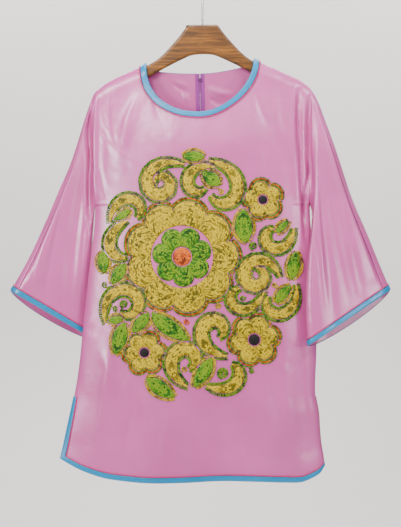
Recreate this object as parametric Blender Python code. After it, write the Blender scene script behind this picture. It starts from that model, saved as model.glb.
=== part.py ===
"""A pink satin top with kimono sleeves, a round neck, side slits and a raised
embroidery on its front, hung on a wooden hanger.

Tables and sizes are in millimetres. x runs to the right of the picture, y to the
back and z up. Heights in the tables are counted from a level that lies SEAT_RISE
below the seat of the hook, and the finished model has its origin at that seat.
"""

import math

import bmesh
import bpy
from mathutils import Matrix, Vector

for old in list(bpy.data.objects):
    bpy.data.objects.remove(old, do_unlink=True)

MM = 0.001
SEAT_RISE = 33.0

# Cloth
WALL = 1.3                  # satin with its facing
SEAM_HALF = 0.15            # half of the gap between two panels
GAP = 0.3                   # gap below what lies on a panel
TRIM = 1.0                  # thickness of the binding
BAND = 10.0                 # width of the binding
CORD = 0.8                  # radius of the piping
CORD_SPACE = 0.4            # between the piping and the binding
UNDERARM = -400.0
SLIT_TOP = -760.0

# Hanging line of the shoulders
TILT = 0.0192               # the hanger hangs a little out of level
SHOULDER_LINE = (
    # distance from the middle, height
    (0, -122.0), (60, -123.5), (97, -129.5), (107, -133.6), (119, -140.5),
    (135, -147.5), (154, -155.8), (170, -163.0), (184, -170.3), (195, -178.5), (206, -188.0),
)
CAP_TOP = 24.0              # height over which the cloth rounds the shoulder
CAP_LOW = 40.0              # and the underarm
CHEST_GROWTH = 190.0        # height over which the chest reaches its depth
ARM_DEPTH = 13.0            # half depth of the armhole
SHOULDER_STEPS = (0.0, 0.14, 0.40, 0.70, 1.0)

# Neck opening: a rounded curve hung from the shoulder line
NECK_MIDDLE = -5.0
NECK_HALF = 101.0
NECK_DROP = {"front": 106.0, "back": 31.0}
NECK_ROUND_LEFT = 2.2
NECK_ROUND_RIGHT = 1.82
NECK_STEPS = (0.0, 0.05, 0.19, 0.42, 0.66, 0.85, 0.95, 1.0)

BODY_ROWS = (
    # height, left edge, right edge, front depth, back depth
    (-183, -199.5, 201.0, 34, 25),
    (-400, -201.0, 201.5, 36, 26),
    (-425, -201.8, 202.0, 36, 26),
    (-455, -204.0, 204.5, 36, 26),
    (-525, -213.0, 207.5, 36, 26),
    (-582, -219.0, 210.0, 35, 26),
    (-640, -225.0, 213.5, 35, 26),
    (-690, -230.0, 213.5, 34, 26),
    (-732, -235.7, 211.5, 34, 26),
    (-760, -240.9, 212.0, 33, 26),
    (-790, -247.0, 217.5, 33, 26),
    (-820, -253.5, 219.5, 33, 27),
    (-850, -260.0, 222.5, 33, 27),
    (-875, -266.0, 227.0, 34, 28),
    (-930, -277.0, 232.0, 35, 28),
)
HEM_LINE = (
    # x, height
    (-268, -873), (-254, -881), (-224, -896), (-183, -909), (-140, -915), (-94, -918),
    (-36, -917), (34, -913.5), (90, -915), (158, -917.7), (183, -917.7), (198.5, -913),
    (219.7, -902), (229, -889),
)
BACK_HEM_RISE = 4.0
HEM_ROUNDS = 5              # tries in which a point's height and x settle
SLIT_OPENING = 0.45         # how far the left slit stands open, as a share of the depth
SLIT_INSET = 6.0            # the back's edge lies this far inside the front's there
SLIT_FADE = 130.0           # height over which the slit reaches its opening
RIGHT_WRAP = math.radians(17)   # the right seam turns to the back this far below the waist
WRAP_START = -665.0
WRAP_END = -755.0

SLEEVE_ROWS = {
    # along, overarm x and z, underarm x and z, half depth, overarm y, underarm y
    "left": (
        (0.00, -199.5, -185.9, -201.0, -400.0, 13.0, 0.0, 0.0),
        (0.10, -206.0, -198.0, -203.5, -424.0, 13.5, 0.5, 8.0),
        (0.22, -219.5, -234.0, -206.0, -452.0, 15.0, 1.0, 14.5),
        (0.38, -243.8, -314.0, -208.5, -492.0, 17.0, 2.0, 21.0),
        (0.55, -278.0, -397.0, -210.0, -535.0, 18.0, 3.0, 26.0),
        (0.78, -322.0, -492.0, -209.5, -597.0, 18.0, 3.0, 31.0),
        (1.00, -359.5, -561.0, -206.5, -652.5, 17.0, 2.0, 34.0),
    ),
    "right": (
        (0.00, 201.0, -179.9, 201.5, -400.0, 13.0, 0.0, 0.0),
        (0.10, 210.0, -194.2, 206.0, -424.0, 13.5, -0.5, -12.0),
        (0.22, 222.0, -221.0, 203.0, -452.0, 15.0, -1.0, -22.0),
        (0.38, 245.0, -283.0, 196.5, -492.0, 17.0, -2.0, -29.0),
        (0.55, 276.0, -377.0, 192.0, -540.0, 18.0, -3.0, -34.0),
        (0.78, 318.0, -478.0, 191.0, -602.0, 18.0, -3.0, -36.0),
        (1.00, 351.5, -559.0, 195.0, -662.0, 17.0, -2.0, -38.0),
    ),
}
SEAM_ROLL = math.radians(30)    # the overarm seam lies this far round to the front
ROLL_REACHED = 0.2              # share of the sleeve at which it does
FOLDS_REACHED = 0.3             # and at which the sleeve's folds are full
BACK_CUFF_DROP = 14.0
CUFF_DOWN = {"left": (-0.513, -0.858), "right": (0.55, -0.835)}

BODY_FOLDS = (
    # top x, top z, bottom x, bottom z, half width, rise to the front
    (-118, -190, -162, -330, 13, 2.5),
    (158, -165, 166, -330, 12, 3.0),
    (186, -195, 193, -390, 7, -3.5),
    (-186, -215, -188, -420, 8, 2.5),
    (-160, -560, -205, -900, 17, 3.0),
    (-95, -800, -98, -930, 20, 2.5),
    (40, -800, 38, -930, 22, 2.5),
    (150, -590, 178, -915, 17, 3.0),
)
SLEEVE_FOLDS = {
    "left": (
        (-226, -250, -318, -575, 12, 3.0),
        (-214, -300, -262, -600, 10, -3.0),
    ),
    "right": (
        (226, -235, 312, -590, 12, 3.0),
        (213, -300, 246, -640, 9, -3.0),
    ),
}

# Columns and rows of the panels
NECK_COLUMN = len(SHOULDER_STEPS) - 1
MIDDLE = NECK_COLUMN + len(NECK_STEPS) - 1
COLUMNS = 2 * MIDDLE
COLUMN_ANGLES = (21, 30, 40, 49, 57.5, 66, 74, 82, 90)   # after the two of the binding
ARM_ROWS = 10
SLIT_ROW = ARM_ROWS + 9
BAND_ROW = SLIT_ROW + 3
HEM_ROW = BAND_ROW + 1
SLEEVE_STEPS = (0.0, 0.06, 0.14, 0.25, 0.37, 0.5, 0.63, 0.76, 0.88)
BAND_COLUMN = len(SLEEVE_STEPS)
CUFF_COLUMN = BAND_COLUMN + 1
BAND_ALONG = 0.97           # about where the binding of a cuff begins
SMALL_TURN = 0.002          # radians over which a section's length is measured

# Zip at the centre back
ZIP_HALF_GAP = 1.0
ZIP_BOTTOM_ROW = ARM_ROWS + 2
TAPE_WIDTH = 7.5
TAPE_THICK = 0.7
CHAIN_HALF = 2.4
CHAIN_THICK = 1.4
SLIDER_HALF = (3.2, 1.2)    # half width and half thickness
SLIDER_HEIGHT = 7.0
FORK_REACH = 1.8            # walls this deep, in shares of their thickness, at the armpit


def read(table, key, column):
    """Smooth value of a table's column at a key; keys may rise or fall."""
    rows = table if table[0][0] < table[-1][0] else table[::-1]
    if key <= rows[0][0]:
        return rows[0][column]
    if key >= rows[-1][0]:
        return rows[-1][column]
    last = len(rows) - 1
    at = max(i for i in range(last) if rows[i][0] <= key)

    def slope(i):
        low, high = max(i - 1, 0), min(i + 1, last)
        return (rows[high][column] - rows[low][column]) / (rows[high][0] - rows[low][0])

    step = rows[at + 1][0] - rows[at][0]
    t = (key - rows[at][0]) / step
    start, end = rows[at][column], rows[at + 1][column]
    return (start * (1 + 2 * t) * (1 - t) ** 2 + end * t * t * (3 - 2 * t)
            + step * (slope(at) * t * (1 - t) ** 2 - slope(at + 1) * t * t * (1 - t)))


def clamp(value, low=0.0, high=1.0):
    return min(max(value, low), high)


def smooth(value):
    value = clamp(value)
    return value * value * (3 - 2 * value)


def quarter(share):
    """A quarter of an ellipse: rises steeply from 0 and is level at 1."""
    return math.sqrt(1 - (1 - clamp(share)) ** 2)


def shoulder(x):
    return read(SHOULDER_LINE, abs(x), 1) + TILT * x


def fold_rise(folds, x, z):
    """Height to the front of all folds of a table at a point of the picture plane."""
    rise = 0.0
    for top_x, top_z, low_x, low_z, width, height in folds:
        run = (z - top_z) / (low_z - top_z)
        if 0 < run < 1:
            off = (x - top_x - (low_x - top_x) * run) / width
            rise += height * math.exp(-off * off) * math.sin(math.pi * run) ** 0.7
    return rise


def body_depth(face, x, z):
    """Distance of the body's outer side from the middle plane, to its own side."""
    left, right = read(BODY_ROWS, z, 1), read(BODY_ROWS, z, 2)
    share = clamp((x - left) / (right - left))
    width = 2 * math.sqrt(share * (1 - share))
    full = read(BODY_ROWS, z, 3 if face == "front" else 4)
    drop = max(shoulder(x) - z, 0.0)
    above = max(z - UNDERARM, 0.0)
    top = quarter(drop / CAP_TOP)
    base = ARM_DEPTH * top * (quarter(above / CAP_LOW) * (1 - width) + width)
    level = drop / (drop + above) if above > 0 else 1.0
    power = 1 + 2 * math.sqrt(level * (1 - level))
    growth = math.sin(math.pi / 2 * clamp(drop / CHEST_GROWTH)) ** 2
    depth = base + (full - ARM_DEPTH) * growth * width ** power
    if face == "front":
        depth += fold_rise(BODY_FOLDS, x, z) * width ** 0.5
    return depth


def slit_open(z):
    return clamp((SLIT_TOP - z) / SLIT_FADE)


def right_seam(z):
    return math.pi + RIGHT_WRAP * smooth((WRAP_START - z) / (WRAP_START - WRAP_END))


def body_section(z, angle):
    """Point of the body's section at a height: 0 is the left tip, pi the right one
    by way of the front, and negative angles lie on the back."""
    left, right = read(BODY_ROWS, z, 1), read(BODY_ROWS, z, 2)
    side, width = math.cos(angle), math.sin(angle)
    x = (left + right) / 2 - side * (right - left) / 2
    to_front = width >= 0
    width = abs(width)
    if side > 0:
        flat = SLIT_OPENING + (1 - SLIT_OPENING) * width * width
        width += (flat - width) * slit_open(z)
        if not to_front:
            x += SLIT_INSET * slit_open(z) * side * side
    depth = read(BODY_ROWS, z, 3 if to_front else 4) * width
    if to_front:
        depth += fold_rise(BODY_FOLDS, x, z) * width ** 0.5
    return Vector((x, -depth if to_front else depth, z))


def angle_after(z, start, turn, arc):
    """Angle at which an arc of a length, walked from a start, ends."""
    step = math.radians(0.25) * turn
    angle, walked = start, 0.0
    here = body_section(z, angle + step * 0.02)
    while walked < arc:
        angle += step
        there = body_section(z, angle)
        walked += (there - here).length
        here = there
    return angle - step * (walked - arc) / max((here - body_section(z, angle - step)).length, 1e-6)


def column_angle(face, column, z):
    """Angle of a column of the body below the underarm."""
    turn = 1 if face == "front" else -1
    right = right_seam(z) if face == "front" else right_seam(z) - 2 * math.pi
    from_left = column <= MIDDLE
    place = column if from_left else COLUMNS - column
    start = 0.0 if from_left else right
    inward = turn if from_left else -turn
    if place == 0:
        near = body_section(z, start + SMALL_TURN * inward)
        far = body_section(z, start + 2 * SMALL_TURN * inward)
        return start + inward * SMALL_TURN * SEAM_HALF / (far - near).length
    if place <= 2:
        return angle_after(z, start, inward, BAND * place / 2)
    angle = math.radians(COLUMN_ANGLES[place - 3])
    if from_left:
        return turn * angle
    return right - turn * angle * abs(right - turn * math.pi / 2) / (math.pi / 2)


def neck_edge(face, side, fall, out):
    """Point in the picture plane on a curve that runs a distance outside the neck's
    edge; fall runs from 0 on the shoulder to 1 at the middle."""
    power = NECK_ROUND_LEFT if side < 0 else NECK_ROUND_RIGHT
    x = NECK_MIDDLE + side * (NECK_HALF + out) * (1 - fall ** power) ** (1 / power)
    return x, shoulder(x) - (NECK_DROP[face] + out) * fall


def top_edge(face, column):
    side = -1 if column <= MIDDLE else 1
    place = column if column <= MIDDLE else COLUMNS - column
    if place <= NECK_COLUMN:
        tip = SLEEVE_ROWS["left" if side < 0 else "right"][0][1]
        inner = NECK_MIDDLE + side * NECK_HALF
        x = tip + (inner - tip) * SHOULDER_STEPS[place]
        return x, shoulder(x)
    return neck_edge(face, side, NECK_STEPS[place - NECK_COLUMN], 0.0)


def sleeve_section(side, along, angle):
    """Point of a sleeve's section: 0 is the overarm tip, pi the underarm one by way
    of the front, and negative angles lie on the back."""
    over_x, over_z, under_x, under_z, half, over_y, under_y = (
        read(SLEEVE_ROWS[side], along, column) for column in range(1, 8))
    share = (1 - math.cos(angle)) / 2
    height = math.hypot(over_x - under_x, over_z - under_z)
    oval = quarter(share * height / CAP_TOP) * quarter((1 - share) * height / CAP_LOW)
    x = over_x + (under_x - over_x) * share
    z = over_z + (under_z - over_z) * share
    to_front = math.sin(angle) >= 0
    depth = half * oval
    if to_front:
        depth += fold_rise(SLEEVE_FOLDS[side], x, z) * oval * smooth(along / FOLDS_REACHED)
    else:
        reach = BACK_CUFF_DROP * along ** 3 * abs(math.sin(angle))
        x += CUFF_DOWN[side][0] * reach
        z += CUFF_DOWN[side][1] * reach
    y = over_y + (under_y - over_y) * share
    return Vector((x, y - depth if to_front else y + depth, z))


def seam_angle(along):
    return SEAM_ROLL * smooth(along / ROLL_REACHED)


def sleeve_angle(face, side, along, row):
    turn = 1 if face == "front" else -1
    over = seam_angle(along)
    under = math.pi if face == "front" else -math.pi
    ends = [over, under]
    for end, inward in ((0, turn), (1, -turn)):
        near = sleeve_section(side, along, ends[end] + SMALL_TURN * inward)
        far = sleeve_section(side, along, ends[end] + 2 * SMALL_TURN * inward)
        ends[end] += inward * SMALL_TURN * SEAM_HALF / (far - near).length
    return ends[0] + (ends[1] - ends[0]) * row / ARM_ROWS


def sleeve_along(side, step, angle):
    """Share of the sleeve's length at a column; the last two bound the binding."""
    if step < BAND_COLUMN:
        return SLEEVE_STEPS[step]
    if step == CUFF_COLUMN:
        return 1.0
    reach = (sleeve_section(side, 1.0, angle) - sleeve_section(side, 0.95, angle)).length
    return 1 - 0.05 * BAND / reach


def panel_point(face, column, row):
    """Outer point of the cloth at a column and row of the cut. Columns below 0 and
    above COLUMNS lie on the sleeves."""
    if row <= ARM_ROWS and (column <= 0 or column >= COLUMNS):
        side = "left" if column <= 0 else "right"
        step = -column if column <= 0 else column - COLUMNS
        along = SLEEVE_STEPS[step] if step < BAND_COLUMN else 1.0
        if step == BAND_COLUMN:
            along = sleeve_along(side, step, sleeve_angle(face, side, BAND_ALONG, row))
        return sleeve_section(side, along, sleeve_angle(face, side, along, row))
    sign = -1 if face == "front" else 1
    if row <= ARM_ROWS:
        low = body_section(UNDERARM, column_angle(face, column, UNDERARM))
        x, z = top_edge(face, column)
        share = (1 - math.cos(math.pi * row / ARM_ROWS)) / 2
        x += (low.x - x) * share
        z += (UNDERARM - z) * share
        place = column if column <= MIDDLE else COLUMNS - column
        on_seam = row == 0 and place <= NECK_COLUMN
        y = sign * (SEAM_HALF if on_seam else body_depth(face, x, z))
        point = Vector((x, y, z))
    elif row <= SLIT_ROW:
        z = UNDERARM + (SLIT_TOP - UNDERARM) * (row - ARM_ROWS) / (SLIT_ROW - ARM_ROWS)
        point = body_section(z, column_angle(face, column, z))
    else:
        z = SLIT_TOP
        for _ in range(HEM_ROUNDS):
            x = body_section(z, column_angle(face, column, z)).x
            hem = read(HEM_LINE, x, 1) + (BACK_HEM_RISE if face == "back" else 0.0)
            share = clamp((row - SLIT_ROW) / (BAND_ROW - SLIT_ROW))
            z = SLIT_TOP + (hem + BAND - SLIT_TOP) * share
            if row == HEM_ROW:
                z = hem
        point = body_section(z, column_angle(face, column, z))
    return point


def in_cut(column, row):
    on_body = 0 <= column <= COLUMNS and 0 <= row <= HEM_ROW
    on_sleeve = -CUFF_COLUMN <= column <= COLUMNS + CUFF_COLUMN and 0 <= row <= ARM_ROWS
    return on_body or on_sleeve


def panel_normal(face, points, column, row):
    """Outward normal at a point of the cut. On a seam it is the one that both panels
    share, so that their inner edges stay a seam's gap apart."""
    sleeve_edge = column in (0, COLUMNS)
    if row == ARM_ROWS and sleeve_edge:
        return Vector((0.0, 0.0, -FORK_REACH))
    if row <= ARM_ROWS and not 0 <= column <= COLUMNS and row in (0, ARM_ROWS):
        side = "left" if column < 0 else "right"
        step = -column if column < 0 else column - COLUMNS
        along = SLEEVE_STEPS[step] if step < BAND_COLUMN else BAND_ALONG
        angle = seam_angle(along) if row == 0 else math.pi
        around = sleeve_section(side, along, angle + 0.05) - sleeve_section(side, along, angle - 0.05)
        length = sleeve_section(side, along + 0.01, angle) - sleeve_section(side, along - 0.01, angle)
        normal = around.cross(length).normalized()
        middle = (sleeve_section(side, along, math.pi / 2) + sleeve_section(side, along, -math.pi / 2)) / 2
        return normal if normal.dot(sleeve_section(side, along, angle) - middle) > 0 else -normal
    if row > ARM_ROWS and sleeve_edge and row < SLIT_ROW + 1:
        z = points[column, row].z
        angle = 0.0 if column == 0 else right_seam(z)
        tangent = body_section(z, angle + 0.05) - body_section(z, angle - 0.05)
        normal = Vector((-tangent.y, tangent.x, 0.0)).normalized()
        out = -1 if column == 0 else 1
        return normal if normal.x * out > 0 else -normal
    low_c = column - 1 if (column - 1, row) in points else column
    high_c = column + 1 if (column + 1, row) in points else column
    low_r = row - 1 if (column, row - 1) in points else row
    high_r = row + 1 if (column, row + 1) in points else row
    across = points[high_c, row] - points[low_c, row]
    place = column if column <= MIDDLE else COLUMNS - column
    if row == 0 and 0 <= place <= NECK_COLUMN:
        return Vector((-across.z, 0.0, across.x)).normalized()
    down = points[column, high_r] - points[column, low_r]
    normal = across.cross(down).normalized()
    return -normal if face == "front" else normal


def panel(face):
    """All outer points and normals of one face of the garment."""
    points = {(c, r): panel_point(face, c, r)
              for c in range(-CUFF_COLUMN, COLUMNS + CUFF_COLUMN + 1)
              for r in range(HEM_ROW + 1) if in_cut(c, r)}
    normals = {at: panel_normal(face, points, *at) for at in points}
    return points, normals


PANELS = {face: panel(face) for face in ("front", "back")}


def on_panel(face, column, row, out):
    """Point at a distance off a panel, between the points of its cut."""
    points, normals = PANELS[face]
    c0, r0 = math.floor(column), math.floor(row)
    fc, fr = column - c0, row - r0
    place, normal = Vector(), Vector()
    for c, wc in ((c0, 1 - fc), (c0 + 1, fc)):
        for r, wr in ((r0, 1 - fr), (r0 + 1, fr)):
            if wc * wr > 1e-9:
                place += points[c, r] * wc * wr
                normal += normals[c, r] * wc * wr
    return place + normal * out


collection = bpy.data.collections.new("embroidered_formal_top")
bpy.context.scene.collection.children.link(collection)


def material(name, colour, roughness, metallic=0.0):
    """Principled material from an sRGB colour of 0 to 255."""
    made = bpy.data.materials.get(name) or bpy.data.materials.new(name)
    made.use_nodes = True
    shader = made.node_tree.nodes["Principled BSDF"]
    shader.inputs["Base Color"].default_value = [(c / 255) ** 2.2 for c in colour] + [1.0]
    shader.inputs["Roughness"].default_value = roughness
    shader.inputs["Metallic"].default_value = metallic
    return made


PINK_SATIN = material("pink_satin", (217, 149, 185), 0.35)
BLUE_SATIN = material("blue_satin", (45, 180, 230), 0.35)
MAGENTA = material("magenta_cord", (192, 42, 120), 0.5)
ZIP_TAPE = material("zip_tape", (182, 80, 168), 0.6)
ZIP_METAL = material("zip_metal", (176, 74, 160), 0.35, 0.4)
GOLD_THREAD = material("gold_thread", (200, 180, 20), 0.6)
GREEN_THREAD = material("green_thread", (110, 150, 32), 0.6)
RUST_THREAD = material("rust_thread", (184, 88, 42), 0.6)
DARK_THREAD = material("dark_thread", (24, 22, 22), 0.6)
HANGER_WOOD = material("hanger_wood", (176, 116, 42), 0.45)
STEEL = material("steel", (200, 200, 205), 0.25, 1.0)


def add_object(name, mesh, finish):
    made = bpy.data.objects.new(name, mesh)
    collection.objects.link(made)
    mesh.materials.clear()
    mesh.materials.append(finish)
    return made


def to_metres(point):
    return Vector((point.x, point.y, point.z - SEAT_RISE)) * MM


def wall(name, patches, place, finish):
    """A closed wall on rectangles of a cut: place(column, row, inner) gives a point."""
    bm = bmesh.new()
    column = bm.verts.layers.float.new("column")
    row = bm.verts.layers.float.new("row")
    for c0, c1, r0, r1 in patches:
        made = bmesh.ops.create_grid(bm, x_segments=c1 - c0, y_segments=r1 - r0, size=0.5)
        for vert in made["verts"]:
            vert.co = (c0 + (vert.co.x + 0.5) * (c1 - c0), r0 + (vert.co.y + 0.5) * (r1 - r0), 0)
            vert[column], vert[row] = round(vert.co.x), round(vert.co.y)
    bmesh.ops.remove_doubles(bm, verts=bm.verts[:], dist=0.01)
    for vert in bm.verts:
        vert.co = place(round(vert[column]), round(vert[row]), False)
    bmesh.ops.remove_doubles(bm, verts=bm.verts[:], dist=0.005)
    made = bmesh.ops.extrude_face_region(bm, geom=bm.faces[:], use_keep_orig=True)
    for vert in (item for item in made["geom"] if isinstance(item, bmesh.types.BMVert)):
        vert.co = place(round(vert[column]), round(vert[row]), True)
    for vert in bm.verts:
        vert.co = to_metres(vert.co)
    bmesh.ops.recalc_face_normals(bm, faces=bm.faces[:])
    mesh = bpy.data.meshes.new(name)
    bm.to_mesh(mesh)
    bm.free()
    return add_object(name, mesh, finish)


def cord(name, points, radius, finish, closed=False):
    """A round cord or wire through points, with filled ends."""
    data = bpy.data.curves.new(name, "CURVE")
    data.dimensions = "3D"
    data.bevel_depth = radius * MM
    data.bevel_resolution = 1
    data.use_fill_caps = True
    spline = data.splines.new("POLY")
    spline.points.add(len(points) - 1)
    for knot, point in zip(spline.points, points):
        knot.co = (*to_metres(point), 1.0)
    spline.use_cyclic_u = closed
    made = bpy.data.objects.new(name, data)
    collection.objects.link(made)
    data.materials.append(finish)
    return made


def panel_wall(name, face, patches, shift=None):
    points, normals = PANELS[face]

    def place(column, row, inner):
        at = points[column, row] + (normals[column, row] * -WALL if inner else Vector())
        return at + shift(column, row) if shift else at

    return wall(name, patches, place, PINK_SATIN)


def zip_shift(side):
    """The back's edge stands off the centre by half the zip's gap, or the seam's."""
    def shift(column, row):
        gap = ZIP_HALF_GAP if row <= ZIP_BOTTOM_ROW else SEAM_HALF
        return Vector((side * gap, 0, 0)) if column == MIDDLE else Vector()
    return shift


SLEEVE_LEFT = (-CUFF_COLUMN, 0, 0, ARM_ROWS)
SLEEVE_RIGHT = (COLUMNS, COLUMNS + CUFF_COLUMN, 0, ARM_ROWS)
panel_wall("front", "front", (SLEEVE_LEFT, (0, COLUMNS, 0, HEM_ROW), SLEEVE_RIGHT))
panel_wall("back_left", "back", (SLEEVE_LEFT, (0, MIDDLE, 0, HEM_ROW)), zip_shift(-1))
panel_wall("back_right", "back", ((MIDDLE, COLUMNS, 0, HEM_ROW), SLEEVE_RIGHT), zip_shift(1))


# Binding and piping of the hem and slits
for face in ("front", "back"):
    def hem_place(column, row, inner, face=face):
        return on_panel(face, column, row, GAP if inner else GAP + TRIM)

    wall("hem_binding_" + face,
         ((0, 2, SLIT_ROW, HEM_ROW), (2, COLUMNS - 2, BAND_ROW, HEM_ROW),
          (COLUMNS - 2, COLUMNS, SLIT_ROW, HEM_ROW)), hem_place, BLUE_SATIN)
    points = PANELS[face][0]

    def beside(row, near, far):
        """Column just outside the binding of a slit, beside column near."""
        step = (points[far, row] - points[near, row]).length
        return near + (far - near) * (CORD + CORD_SPACE) / step

    above = BAND_ROW - (CORD + CORD_SPACE) / (points[MIDDLE, BAND_ROW] - points[MIDDLE, BAND_ROW - 1]).length
    slit_rows = list(range(SLIT_ROW, BAND_ROW))
    route = [(beside(row, 2, 3), row) for row in slit_rows] + [(beside(BAND_ROW, 2, 3), above)]
    route += [(column, above) for column in range(3, COLUMNS - 2)]
    route += [(beside(BAND_ROW, COLUMNS - 2, COLUMNS - 3), above)]
    route += [(beside(row, COLUMNS - 2, COLUMNS - 3), row) for row in slit_rows[::-1]]
    cord("hem_piping_" + face, [on_panel(face, c, r, GAP + CORD) for c, r in route], CORD, MAGENTA)


# Binding and piping of the cuffs: rings over both faces of a sleeve
def ring_faces():
    """Face and row at each step round a sleeve, from the overarm seam."""
    front = [("front", row) for row in range(ARM_ROWS + 1)]
    return front + [("back", row) for row in range(ARM_ROWS - 1, 0, -1)]


def cuff_point(side, step, at, out):
    face, row = ring_faces()[at % (2 * ARM_ROWS)]
    column = -step if side == "left" else COLUMNS + step
    return on_panel(face, column, row, out)


for side in ("left", "right"):
    def cuff_place(column, row, inner, side=side):
        return cuff_point(side, BAND_COLUMN + row, column, GAP if inner else GAP + TRIM)

    wall("cuff_binding_" + side, ((0, 2 * ARM_ROWS, 0, 1),), cuff_place, BLUE_SATIN)
    inset = (CORD + CORD_SPACE) / (cuff_point(side, BAND_COLUMN, 5, 0)
                            - cuff_point(side, BAND_COLUMN - 1, 5, 0)).length
    cord("cuff_piping_" + side,
         [cuff_point(side, BAND_COLUMN - inset, at, GAP + CORD) for at in range(2 * ARM_ROWS)],
         CORD, MAGENTA, closed=True)


# Binding and piping of the neck, open at the zip
def body_surface(face, x, z, out):
    """Point at a distance off the body's true outer surface."""
    sign = -1 if face == "front" else 1
    reach = 0.5

    def depth(px, pz):
        return sign * body_depth(face, px, pz)

    slope_x = (depth(x + reach, z) - depth(x - reach, z)) / (2 * reach)
    slope_z = (depth(x, z + reach) - depth(x, z - reach)) / (2 * reach)
    normal = Vector((-slope_x, 1.0, -slope_z)).normalized() * sign
    return Vector((x, depth(x, z), z)) + normal * out


NECK_FINE = [a + (b - a) * half for a, b in zip(NECK_STEPS, NECK_STEPS[1:]) for half in (0.0, 0.5)]
NECK_OPEN = 0.9995          # the back's band ends beside the zip
NECK_LIFT = 0.5             # room below the band where the panels' facets bulge


def neck_route():
    """Face, side and fall at each step round the neck, from the left of the zip."""
    route = [("back", -1, NECK_OPEN)] + [("back", -1, fall) for fall in NECK_FINE[:0:-1]]
    route += [("ridge", -1, 0.0)] + [("front", -1, fall) for fall in NECK_FINE[1:]]
    route += [("front", 1, 1.0)] + [("front", 1, fall) for fall in NECK_FINE[:0:-1]]
    route += [("ridge", 1, 0.0)] + [("back", 1, fall) for fall in NECK_FINE[1:]]
    return route + [("back", 1, NECK_OPEN)]


NECK_ROUTE = neck_route()


def neck_point(step, out_from_edge, off):
    face, side, fall = NECK_ROUTE[step]
    if face == "ridge":
        x = NECK_MIDDLE + side * (NECK_HALF + out_from_edge)
        slope = shoulder(x + 1) - shoulder(x - 1)
        normal = Vector((-slope / 2, 0.0, 1.0)).normalized()
        return Vector((x, 0.0, shoulder(x))) + normal * (off + NECK_LIFT)
    x, z = neck_edge(face, side, fall, out_from_edge)
    return body_surface(face, x, z, off + NECK_LIFT)


def neck_place(column, row, inner):
    return neck_point(column, BAND * (1 - row), GAP if inner else GAP + TRIM)


wall("neck_binding", ((0, len(NECK_ROUTE) - 1, 0, 1),), neck_place, BLUE_SATIN)
cord("neck_piping", [neck_point(step, BAND + CORD + CORD_SPACE, 2 * GAP + CORD) for step in range(len(NECK_ROUTE))],
     CORD, MAGENTA)


# Zip: tapes inside the back, the chain on them, the slider and its pull tab
def zip_point(offset, row, inward):
    """Point beside the centre line of the back, inside its wall."""
    side = -1 if offset < 0 else 1
    middle = on_panel("back", MIDDLE, row, -WALL - GAP - inward)
    step = on_panel("back", MIDDLE + side, row, -WALL - GAP - inward) - middle
    return middle + step * (abs(offset) / step.length)


for side, name in ((-1, "left"), (1, "right")):
    def tape_place(column, row, inner, side=side):
        offset = side * (ZIP_HALF_GAP + column * TAPE_WIDTH)
        return zip_point(offset, row, TAPE_THICK if inner else 0.0)

    wall("zip_tape_" + name, ((0, 1, 0, ZIP_BOTTOM_ROW),), tape_place, ZIP_TAPE)

CHAIN_TOP = 1.6             # row at which the chain begins, below the slider


def chain_place(column, row, inner):
    return zip_point((column * 2 - 1) * CHAIN_HALF, max(row, CHAIN_TOP),
                     TAPE_THICK + GAP + (CHAIN_THICK if inner else 0.0))


wall("zip_chain", ((0, 1, 1, ZIP_BOTTOM_ROW),), chain_place, ZIP_TAPE)


def flat_mesh(outlines, thickness, rounding=0.0):
    """Mesh of a flat shape with round edges: the first outline, less the others. It
    lies in the local XY plane, in metres."""
    data = bpy.data.curves.new("flat", "CURVE")
    data.dimensions = "2D"
    data.fill_mode = "BOTH"
    data.extrude = (thickness / 2 - rounding) * MM
    data.bevel_depth = rounding * MM
    data.bevel_resolution = 1
    data.offset = -rounding * MM
    for outline in outlines:
        spline = data.splines.new("POLY")
        spline.points.add(len(outline) - 1)
        for knot, (across, up) in zip(spline.points, outline):
            knot.co = (across * MM, up * MM, 0.0, 1.0)
        spline.use_cyclic_u = True
    guide = bpy.data.objects.new("flat", data)
    bpy.context.scene.collection.objects.link(guide)
    bpy.context.view_layer.update()
    mesh = bpy.data.meshes.new_from_object(guide.evaluated_get(bpy.context.evaluated_depsgraph_get()))
    bpy.data.objects.remove(guide, do_unlink=True)
    bm = bmesh.new()
    bm.from_mesh(mesh)
    bmesh.ops.remove_doubles(bm, verts=bm.verts[:], dist=0.00001)
    bmesh.ops.recalc_face_normals(bm, faces=bm.faces[:])
    bm.to_mesh(mesh)
    bm.free()
    return mesh


def turn_mesh(mesh, across, up, at):
    """Set a flat mesh's X along across and its Y along up, with its origin at a point."""
    across, up = Vector(across), Vector(up)
    frame = Matrix((across, up, across.cross(up))).transposed().to_4x4()
    mesh.transform(Matrix.Translation(to_metres(at)) @ frame)
    return mesh


def circle(x, y, radius, count):
    return [(x + radius * math.cos(2 * math.pi * i / count), y + radius * math.sin(2 * math.pi * i / count))
            for i in range(count)]


SLIDER_ROW = 1.34
LUG_HALF = 0.6
PIN_OFF = 4.6               # the pull tab's bar stands this far off the cloth
LUG_RADIUS = 2.4
LUG_HOLE = 1.3
TAB_HALF = 2.7
TAB_LENGTH = 24.0
TAB_THICK = 1.2
TAB_CORNER = 2.0            # cut off its lower corners
BAR_HALF = 0.7
WINDOW_HALF = 1.4
WINDOW_END = 4.2

slider_at = on_panel("back", MIDDLE, SLIDER_ROW, 0.0)
body_y = zip_point(0.01, SLIDER_ROW, TAPE_THICK + GAP).y
chain_top = max(zip_point(offset, CHAIN_TOP, TAPE_THICK + GAP).z for offset in (-CHAIN_HALF, CHAIN_HALF))
slider_face = body_y - GAP
slider_middle = chain_top + 2 * GAP + SLIDER_HEIGHT / 2
pin_at = Vector((slider_at.x, slider_at.y + PIN_OFF, slider_middle))

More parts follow.
